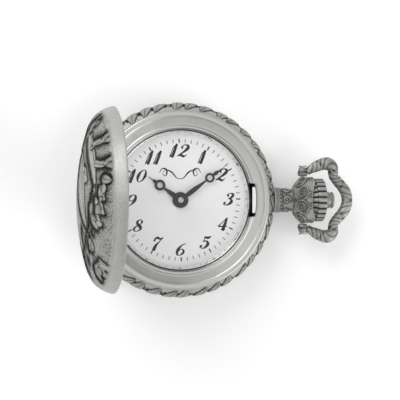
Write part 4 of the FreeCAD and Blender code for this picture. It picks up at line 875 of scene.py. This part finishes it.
def make_cup():
    """The flaring bell round the crown: spiral scrolls, beads and a lip that stands back above and below."""
    wall = 0.5
    start = CUP_START
    corners = [
        (1.62, start), (2.25, start), (CUP_RADIUS - 0.15, start + 1.68), (CUP_RADIUS, start + 2.18),
        (CUP_RADIUS, CUP_LIP), (CUP_RADIUS - wall + 0.1, CUP_LIP), (CUP_RADIUS - wall - 0.15, start + 2.48),
        (2.0, start + 1.18), (1.62, start + 1.18),
    ]
    bell = Turned(dense(rounded(corners, 0.16), 0.1, closed=True), 360)
    reach = 3.6
    relief = Relief(bell.angle * reach, bell.along)
    scrolls = 8
    pitch = TURN * reach / scrolls
    for turn in range(-1, scrolls + 1):
        middle = (turn + 0.5) * pitch
        way = 1 if turn % 2 else -1
        relief.limb([(middle + way * 1.2, 1.0), (middle + way * 1.3, 2.2), (middle + way * 1.1, 3.4),
                     (middle + way * 0.2, 4.2)], [0.12, 0.17, 0.17, 0.12], 0.24)
        relief.scroll(middle, 2.7, 1.3, 1.5, 90.0, way, 0.17, 0.27)
        relief.scroll(middle + way * 0.6, 4.5, 0.5, 1.0, -90.0, -way, 0.15, 0.24)
    outside = bell.along < 5.3
    bell.raise_by((relief.soft_height() - 0.2) * outside * np.clip((bell.along - 0.3) / 0.3, 0, 1))
    scallop, depth = 7.2, 0.95
    side = np.clip(np.abs(bell.radius * np.cos(bell.angle)), 0, scallop)
    limit = CUP_LIP - depth + scallop - np.sqrt(scallop * scallop - side * side)
    limit = np.minimum(limit, CUP_LIP)
    bell.height = np.minimum(bell.height, limit)
    lip = fading(bell.height - limit, 0.16)
    dark = np.where(outside, relief.patina(0.15, 0.24) * 0.65, 0.2) * (1 - lip * 0.8)
    made = add_piece("bell", bell.about_pendant(), bell.faces(), "case", "antique_pewter", shading(dark))
    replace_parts(made, "pendant_cup")


def make_crown():
    """The fluted crown with its domed end."""
    start, outer = CROWN_START, CROWN_RADIUS
    end = CROWN_END - 0.3
    bore = 1.66
    corners = [
        (0.99, start), (outer - 0.75, start), (outer - 0.32, start + 1.25), (outer, start + 1.45),
        (outer, end - 0.1), (outer - 0.35, end + 0.06), (2.8, end + 0.22), (bore + 0.2, end + 0.3),
        (bore, end + 0.2), (bore, start + 0.5), (0.99, start + 0.5),
    ]
    flutes, columns_per_flute = 22, 20
    knob = Turned(dense(rounded(corners, 0.22), 0.12, closed=True), flutes * columns_per_flute)
    lobe = (knob.angle * flutes / TURN) % 1.0 * 2 - 1
    hollow = 1 - np.sqrt(np.clip(1 - (np.abs(lobe) * 0.98) ** 2.2, 0, 1))
    depth = 0.45 * np.clip((knob.radius - (outer - 1.05)) / 0.5, 0, 1) * (knob.height > start + 0.3)
    knob.radius = knob.radius - hollow * depth
    layers = shading(np.clip(hollow * depth * 4.0, 0, 0.95))
    made = add_piece("crown_knob", knob.about_pendant(), knob.faces(), "crown_stem", "antique_pewter", layers)
    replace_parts(made, "crown")


def make_button():
    """The push button in the crown's end, with its rod."""
    radius, rod, rod_end = 1.6, 0.6, low_of("push_button").x
    end = BUTTON_END
    cap_start = end - 2.1
    corners = [
        (0.01, rod_end), (rod, rod_end), (rod, cap_start), (radius, cap_start), (radius, end - 0.95),
        (radius - 0.22, end - 0.85), (radius - 0.22, end - 0.6), (radius, end - 0.5), (radius, end - 0.3),
        (radius - 0.25, end - 0.08), (0.9, end), (0.01, end),
    ]
    cap = Turned(dense(rounded(corners, 0.14), 0.3, closed=True), 96)
    made = add_piece("button_cap", cap.about_pendant(), cap.faces(), "button", "satin_pewter", finish=AGED)
    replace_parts(made, "push_button")


# half of the bow's centre line, from its outer end back to the pivot, as (x from the end, y)
BOW_HALF = ((0.0, 0.0), (-0.8, 2.3), (-2.35, 4.05), (-2.75, 5.3), (-4.3, 6.9), (-6.0, 6.4), (-7.8, 5.3))

# how thick the cast wire is along each half, as distances from the outer end and shares of the CAD wire
BOW_STATIONS = (0.0, 3.0, 5.3, 8.2, 10.6, 12.4)
BOW_GIRTH = (1.22, 1.22, 1.04, 1.46, 1.22, 0.78)


def bow_line(spacing):
    """Points along half of the bow, on arcs that flow into one another."""
    heading = 90.0
    line = [BOW_HALF[0]]
    for here, after in zip(BOW_HALF, BOW_HALF[1:]):
        chord = math.degrees(math.atan2(after[1] - here[1], after[0] - here[0]))
        bend = (chord - heading + 180.0) % 360.0 - 180.0
        length = math.dist(here, after)
        radius = length / (2.0 * math.sin(math.radians(bend)))
        line += arc_points(here, after, radius, max(4, int(length / spacing)))[1:]
        heading += 2.0 * bend
    return np.array(line)


def make_bow():
    """The lobed bow: a cast wire with leaf-like ridges, and its two eyes."""
    half = bow_line(0.07)
    line = np.concatenate([half[::-1] * [1, -1], half[1:]])
    line[:, 0] += high_of("bow").x - BOW_WIRE
    slope, along = unit_slope(line), run_length(line)
    along -= along[-1] * 0.5
    columns = 40
    around = np.arange(columns) * TURN / columns
    turn, station = np.meshgrid(around, along)
    sheath = (np.abs(station) / 3.3 + 0.12 * np.cos(turn)) % 1.0
    swell = np.sin(math.pi * sheath ** 0.7)
    ridges = np.cos(turn * 4 + np.abs(station) * 6.0 + 2.4 * np.sin(np.abs(station) * 1.25))
    girth = np.interp(np.abs(station), BOW_STATIONS, BOW_GIRTH)
    width = BOW_WIRE * (girth + 0.07 * (swell - 0.6) + 0.03 * ridges)
    out = np.stack([-slope[:, 1], slope[:, 0]], axis=1)
    points = np.zeros((len(line), columns, 3))
    points[..., 0] = line[:, :1] + out[:, :1] * width * np.cos(turn)
    points[..., 1] = line[:, 1:] + out[:, 1:] * width * np.cos(turn)
    points[..., 2] = PENDANT_HEIGHT + width * np.sin(turn)
    faces = tube_faces(len(line), columns)
    recess = 0.9 * np.clip(0.4 - swell, 0, 1) + 0.5 * np.clip(-ridges, 0, 1) ** 1.5 + 0.1
    layers = shading(np.clip(recess, 0, 0.95))
    made = add_piece("bow_wire", points, faces, "bow_loop", "antique_pewter", layers)
    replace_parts(made, "bow")
    make_bow_eyes()


def make_bow_eyes():
    """The round eyes at the bow's ends."""
    inner, outer, eye, bore = CUP_RADIUS + 0.12, 6.1, 0.98, 0.45
    groove_place, columns = 5.3, 72
    for side, name in ((-1, "bow_eye_low"), (1, "bow_eye_high")):
        corners = [(bore, inner), (eye - 0.2, inner), (eye, inner + 0.5), (eye - 0.3, outer), (bore, outer)]
        outline = np.array(dense(rounded(corners, 0.45, 8), 0.15, closed=True)) * [1, side]
        points, faces = turned_on_y(outline, columns, (BOW_PIVOT, PENDANT_HEIGHT))
        groove = fading(np.abs(outline[:, 1]) - groove_place, 0.2)
        layers = shading(np.repeat(groove * 0.5 + 0.25, columns))
        add_piece(name, points, faces, "bow_loop", "antique_pewter", layers)


# ---------------------------------------------------------------- dial

DIAL_TURN = 1.0
NUMERAL_HEIGHT = 2.2
PEN = 1.8
DIGIT_BREADTH = 1.25
NUMERAL_RING = 9.2
SLANT = 0.3

# pen strokes of each digit: (x, y, width) with the digit one unit high
STROKES = {
    "0": (((0.5, 0.5, 0.13), (0.44, 0.88, 0.07), (0.28, 1.0, 0.03), (0.1, 0.82, 0.08), (0.03, 0.5, 0.14),
           (0.08, 0.14, 0.08), (0.24, 0.0, 0.03), (0.42, 0.16, 0.07), (0.5, 0.5, 0.13)),),
    "1": (((0.36, 0.0, 0.13), (0.36, 0.5, 0.14), (0.36, 1.0, 0.11)),
          ((0.2, 0.0, 0.07), (0.19, 0.4, 0.035), (0.2, 0.72, 0.04), (0.27, 0.9, 0.05), (0.36, 1.0, 0.06))),
    "2": (((0.1, 0.74, 0.1), (0.06, 0.84, 0.06), (0.2, 0.98, 0.04), (0.42, 0.94, 0.1), (0.5, 0.74, 0.15),
           (0.34, 0.44, 0.1), (0.1, 0.18, 0.05), (0.0, 0.05, 0.05)),
          ((0.0, 0.06, 0.05), (0.16, 0.14, 0.11), (0.36, 0.03, 0.12), (0.5, 0.05, 0.05), (0.56, 0.18, 0.03))),
    "3": (((0.12, 0.8, 0.11), (0.08, 0.88, 0.06), (0.24, 1.0, 0.04), (0.44, 0.9, 0.12), (0.42, 0.68, 0.11),
           (0.22, 0.54, 0.03)),
          ((0.22, 0.54, 0.03), (0.42, 0.48, 0.09), (0.5, 0.28, 0.15), (0.36, 0.04, 0.08), (0.16, 0.0, 0.04),
           (0.04, 0.1, 0.07), (0.08, 0.18, 0.11))),
    "4": (((0.4, 1.0, 0.04), (0.2, 0.62, 0.04), (0.0, 0.3, 0.05)),
          ((0.0, 0.29, 0.05), (0.3, 0.28, 0.07), (0.62, 0.28, 0.04)),
          ((0.42, 1.0, 0.06), (0.42, 0.5, 0.14), (0.42, 0.02, 0.14)), ((0.3, 0.01, 0.05), (0.54, 0.01, 0.05))),
    "5": (((0.12, 0.92, 0.1), (0.34, 0.88, 0.12), (0.5, 0.98, 0.05)),
          ((0.13, 0.94, 0.04), (0.12, 0.74, 0.035), (0.1, 0.55, 0.04)),
          ((0.1, 0.55, 0.04), (0.3, 0.6, 0.07), (0.48, 0.36, 0.15), (0.36, 0.05, 0.08), (0.14, 0.0, 0.04),
           (0.02, 0.1, 0.07), (0.07, 0.18, 0.11))),
    "6": (((0.42, 1.0, 0.03), (0.2, 0.82, 0.06), (0.05, 0.48, 0.14), (0.08, 0.12, 0.1), (0.26, 0.0, 0.04),
           (0.46, 0.16, 0.1), (0.46, 0.38, 0.1), (0.3, 0.52, 0.04), (0.12, 0.38, 0.03)),),
    "7": (((0.04, 0.72, 0.09), (0.06, 0.9, 0.08), (0.22, 0.96, 0.12), (0.38, 0.86, 0.08), (0.56, 0.98, 0.04)),
          ((0.56, 0.98, 0.04), (0.4, 0.62, 0.05), (0.26, 0.32, 0.12), (0.22, 0.0, 0.16))),
    "8": (((0.42, 0.82, 0.1), (0.28, 1.0, 0.03), (0.1, 0.84, 0.1), (0.18, 0.62, 0.14), (0.42, 0.38, 0.15),
           (0.48, 0.18, 0.09), (0.26, 0.0, 0.03), (0.04, 0.16, 0.1), (0.12, 0.4, 0.06), (0.36, 0.6, 0.04),
           (0.42, 0.82, 0.1)),),
}
STROKES["9"] = (tuple((0.52 - x, 1.0 - y, width) for x, y, width in STROKES["6"][0]),)

# a plain double curl that fills the upper half of the dial, as (x, y, width) in millimetres
CURL = (
    (-3.4, 0.3, 0.03), (-2.9, 0.75, 0.06), (-2.2, 0.55, 0.11), (-2.35, -0.05, 0.05), (-2.85, 0.15, 0.03),
    (-2.4, 0.6, 0.03), (-1.4, 0.35, 0.09), (-0.5, -0.3, 0.05), (0.5, -0.3, 0.05), (1.4, 0.35, 0.09),
    (2.4, 0.6, 0.03), (2.85, 0.15, 0.03), (2.35, -0.05, 0.05), (2.2, 0.55, 0.11), (2.9, 0.75, 0.06),
    (3.4, 0.3, 0.03),
)


class Ink:
    """Flat printed strokes gathered into one mesh."""

    def __init__(self, height):
        self.height = height
        self.points, self.faces = [], []

    def ribbon(self, line):
        """A stroke that follows (x, y, width) points, with rounded ends."""
        slope = unit_slope(line[:, :2])
        out = np.stack([-slope[:, 1], slope[:, 0]], axis=1) * line[:, 2:] * 0.5
        first = len(self.points)
        for (x, y), (off_x, off_y) in zip(line[:, :2], out):
            self.points += [(x + off_x, y + off_y, self.height), (x - off_x, y - off_y, self.height)]
        for index in range(len(line) - 1):
            here = first + index * 2
            self.faces.append((here, here + 1, here + 3, here + 2))
        for end in (0, -1):
            self.dot(line[end][0], line[end][1], line[end][2] * 0.5)

    def dot(self, x, y, radius):
        """A round blob."""
        first, sides = len(self.points), 14
        for side in range(sides):
            turn = TURN * side / sides
            self.points.append((x + radius * math.cos(turn), y + radius * math.sin(turn), self.height))
        self.faces.append(tuple(range(first, first + sides)))

    def numeral(self, text, x, y, height):
        """A slanted number centred at a place."""
        advance = 0.56
        width = 0.5 + advance * (len(text) - 1)
        for place, digit in enumerate(text):
            shift = place * advance - width * 0.5 - (0.16 if digit == "1" else 0.0)
            for stroke in STROKES[digit]:
                line = smooth_line(stroke)
                tall = line[:, 1] - 0.5
                line[:, 0] = x + (line[:, 0] + shift + tall * SLANT) * height * DIGIT_BREADTH
                line[:, 1] = y + tall * height
                line[:, 2] *= height * PEN
                self.ribbon(line)


def make_dial():
    """The lacquered dial and its printing."""
    bottom = low_of("dial").z
    hole = 0.9
    corners = [(hole, bottom), (DIAL_RADIUS, bottom), (DIAL_RADIUS, DIAL_TOP), (hole, DIAL_TOP)]
    plate = Turned(dense(rounded(corners, 0.05), 1.5, closed=True), 192)
    made = add_piece("dial_plate", plate.about_z(), plate.faces(), "case", "dial_white")
    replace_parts(made, "dial")
    ink = Ink(DIAL_TOP + 0.012)
    tick_inner, tick_outer, bold_width, fine_width = 10.72, 11.3, 0.24, 0.13
    for minute in range(60):
        turn = math.radians(90.0 + DIAL_TURN - minute * 6.0)
        width = fine_width if minute % 5 else bold_width
        ends = [(reach * math.cos(turn), reach * math.sin(turn), width) for reach in (tick_inner, tick_outer)]
        ink.ribbon(np.array(ends))
    for hour in range(1, 13):
        turn = math.radians(90.0 + DIAL_TURN - hour * 30.0)
        ink.numeral(str(hour), NUMERAL_RING * math.cos(turn), NUMERAL_RING * math.sin(turn), NUMERAL_HEIGHT)
    curl_breadth, curl_height, curl_pen, curl_place = 1.15, 1.7, 3.2, 4.6
    curl = smooth_line(CURL) * [curl_breadth, curl_height, curl_pen]
    curl[:, 1] += curl_place
    ink.ribbon(curl)
    add_piece("dial_print", ink.points, ink.faces, "case", "hand_black", finish=INK, smooth=False)


def hand_width(reach, hub, ring_place, ring_radius, along):
    """Half-width of a hand at a distance from its hub: hub, leaf-shaped blade, ring and spade tip."""
    width = 0.0
    if abs(along) < hub:
        width = math.sqrt(hub * hub - along * along)
    blade_end = ring_place - ring_radius * 0.8
    if 0 <= along <= blade_end:
        width = max(width, 0.16 + 0.3 * math.sin(math.pi * (along / blade_end) ** 0.8) ** 1.5)
    if abs(along - ring_place) < ring_radius:
        width = max(width, math.sqrt(ring_radius ** 2 - (along - ring_place) ** 2))
    tip_start = ring_place + ring_radius * 0.8
    if along >= tip_start:
        part = min(1.0, (along - tip_start) / (reach - tip_start))
        width = max(width, 0.02 + 0.13 * (1 - part) + 0.24 * math.exp(-((part - 0.22) / 0.16) ** 2))
    return width


def make_hand(name, node, body, hub, ring_place, ring_radius, ring_hole, reach, heading):
    """A pierced black hand with softened edges."""
    low, high = low_of(node).z, high_of(node).z
    curve = bpy.data.curves.new(name + "_outline", "CURVE")
    curve.dimensions = "2D"
    curve.fill_mode = "BOTH"
    edge = 0.03
    curve.extrude = ((high - low) * 0.5 - edge) * MM
    curve.bevel_depth = edge * MM
    curve.bevel_resolution = 2
    stations = np.concatenate([np.linspace(-hub, hub, 30), np.linspace(hub + 0.05, reach, 110)])
    blunt = 0.02
    widths = [max(blunt, hand_width(reach, hub, ring_place, ring_radius, along) - edge) for along in stations]
    right = list(zip(stations, widths))
    left = [(along, -width) for along, width in reversed(right)]
    hub_hole = 0.53
    rings = [right + left]
    for centre, radius in ((ring_place, ring_hole + edge), (0.0, hub_hole + edge)):
        rings.append([(centre + radius * math.cos(turn), radius * math.sin(turn))
                      for turn in np.arange(40) * TURN / 40])
    cosine, sine = math.cos(math.radians(heading)), math.sin(math.radians(heading))
    for ring in rings:
        spline = curve.splines.new("POLY")
        spline.points.add(len(ring) - 1)
        spline.use_cyclic_u = True
        for point, (along, across) in zip(spline.points, ring):
            point.co = ((along * cosine - across * sine) * MM, (along * sine + across * cosine) * MM, 0, 1)
    holder = add_object(name + "_outline", curve)
    bpy.context.view_layer.update()
    mesh = bpy.data.meshes.new_from_object(holder.evaluated_get(bpy.context.evaluated_depsgraph_get()))
    bpy.data.objects.remove(holder)
    mesh.name = name
    mesh.transform(Matrix.Translation((0, 0, (low + high) * 0.5 * MM)))
    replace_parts(attach(name, mesh, body, "hand_black"), node)


def make_hands():
    """The two hands; their places follow the CAD hands."""
    make_hand("hour_pointer", "hour_hand", "hour", hub=1.48, ring_place=4.75, ring_radius=1.0,
              ring_hole=0.55, reach=7.4, heading=144.3)
    make_hand("minute_pointer", "minute_hand", "minute", hub=1.3, ring_place=6.9, ring_radius=0.9,
              ring_hole=0.5, reach=11.0, heading=36.9)


# ---------------------------------------------------------------- other CAD nodes, stage, light and camera

def make_arbor_cap():
    """The bright end of the centre arbor in the middle of the hands."""
    base = high_of("minute_hand").z - 0.06
    outline = [(0.02, base), (0.5, base), (0.5, base + 0.12), (0.42, base + 0.2), (0.02, base + 0.23)]
    cap = Turned(dense(rounded(outline, 0.04), 0.1, closed=True), 64)
    add_piece("arbor_cap", cap.about_z(), cap.faces(), "minute", "steel")


def dress_cad_nodes():
    """Give every CAD node the finish of its material slot."""
    for node in frame["nodes"].values():
        slot = node.data.materials[0].name
        node.data.materials.clear()
        node.data.materials.append(MATERIALS[slot])
        for face in node.data.polygons:
            face.use_smooth = True
        node.data.set_sharp_from_angle(angle=math.radians(30.0))


def make_floor():
    """A wide pale floor under the watch."""
    half, height = 1.2, -0.02 * MM
    corners = [(-half, -half, height), (half, -half, height), (half, half, height), (-half, half, height)]
    mesh = bpy.data.meshes.new("floor")
    mesh.from_pydata(corners, [], [(0, 1, 2, 3)])
    finish = Finish("floor_paper")
    grain = finish.noise(0.4, 3.0)
    colour = finish.blend(grain, (0.95, 0.95, 0.95), (0.97, 0.97, 0.97))
    surface = finish.surface(colour, finish.spread(grain, 0.85, 0.95), Emission_Color=(1.0, 1.0, 1.0, 1.0),
                             Emission_Strength=0.12)
    mesh.materials.append(surface)
    floor = add_object("floor", mesh)


def add_softbox(name, place, size, power):
    """A square soft light that faces the watch."""
    light = bpy.data.lights.new(name, "AREA")
    light.shape = "SQUARE"
    light.size = size
    light.energy = power
    lamp = add_object(name, light)
    lamp.location = place
    aim = Vector((0, 0, 0.01))
    lamp.rotation_euler = (aim - Vector(place)).to_track_quat("-Z", "Y").to_euler()


def light_scene():
    """Large soft lights and a pale surrounding."""
    add_softbox("key_light", (-0.3, 0.4, 0.4), 0.45, 2.0)
    add_softbox("fill_light", (0.45, -0.25, 0.35), 0.45, 1.5)
    add_softbox("side_light", (-0.45, -0.3, 0.35), 0.45, 0.5)
    world = bpy.data.worlds.new("studio")
    world.use_nodes = True
    tree = world.node_tree
    place = tree.nodes.new("ShaderNodeTexCoord")
    parts = tree.nodes.new("ShaderNodeSeparateXYZ")
    tree.links.new(place.outputs["Generated"], parts.inputs["Vector"])
    sky = tree.nodes.new("ShaderNodeValToRGB")
    tones = ((0.0, 0.7), (0.5, 0.62), (0.8, 0.24), (0.9, 0.42), (0.97, 1.0))
    for index, (position, tone) in enumerate(tones):
        stop = sky.color_ramp.elements[index] if index < 2 else sky.color_ramp.elements.new(position)
        stop.position = position
        stop.color = (tone, tone, tone, 1.0)
    tree.links.new(parts.outputs["Z"], sky.inputs["Fac"])
    tree.links.new(sky.outputs["Color"], tree.nodes["Background"].inputs["Color"])
    bpy.context.scene.world = world


def place_camera():
    """The camera above the watch, leaning a little towards the hinge side."""
    lean, distance = math.radians(10.3), 0.334
    target = Vector((3.4, 0.0, 9.4)) * MM
    towards = Vector((-math.sin(lean), 0.0, math.cos(lean)))
    camera = bpy.data.cameras.new("camera")
    camera.lens = 162.0
    camera.clip_start = 0.01
    viewer = add_object("camera", camera)
    right = Vector((math.cos(lean), 0.0, math.sin(lean)))
    axes = Matrix((right, Vector((0.0, 1.0, 0.0)), towards)).transposed()
    viewer.matrix_world = Matrix.Translation(target + towards * distance) @ axes.to_4x4()
    bpy.context.scene.camera = viewer


dress_cad_nodes()
make_lid()
make_band_relief()
make_bezel()
make_glass_seat()
make_glass()
make_back()
make_neck()
make_cup()
make_crown()
make_button()
make_bow()
make_dial()
make_hands()
make_arbor_cap()
make_floor()
light_scene()
place_camera()
bpy.context.scene.view_settings.view_transform = "Standard"
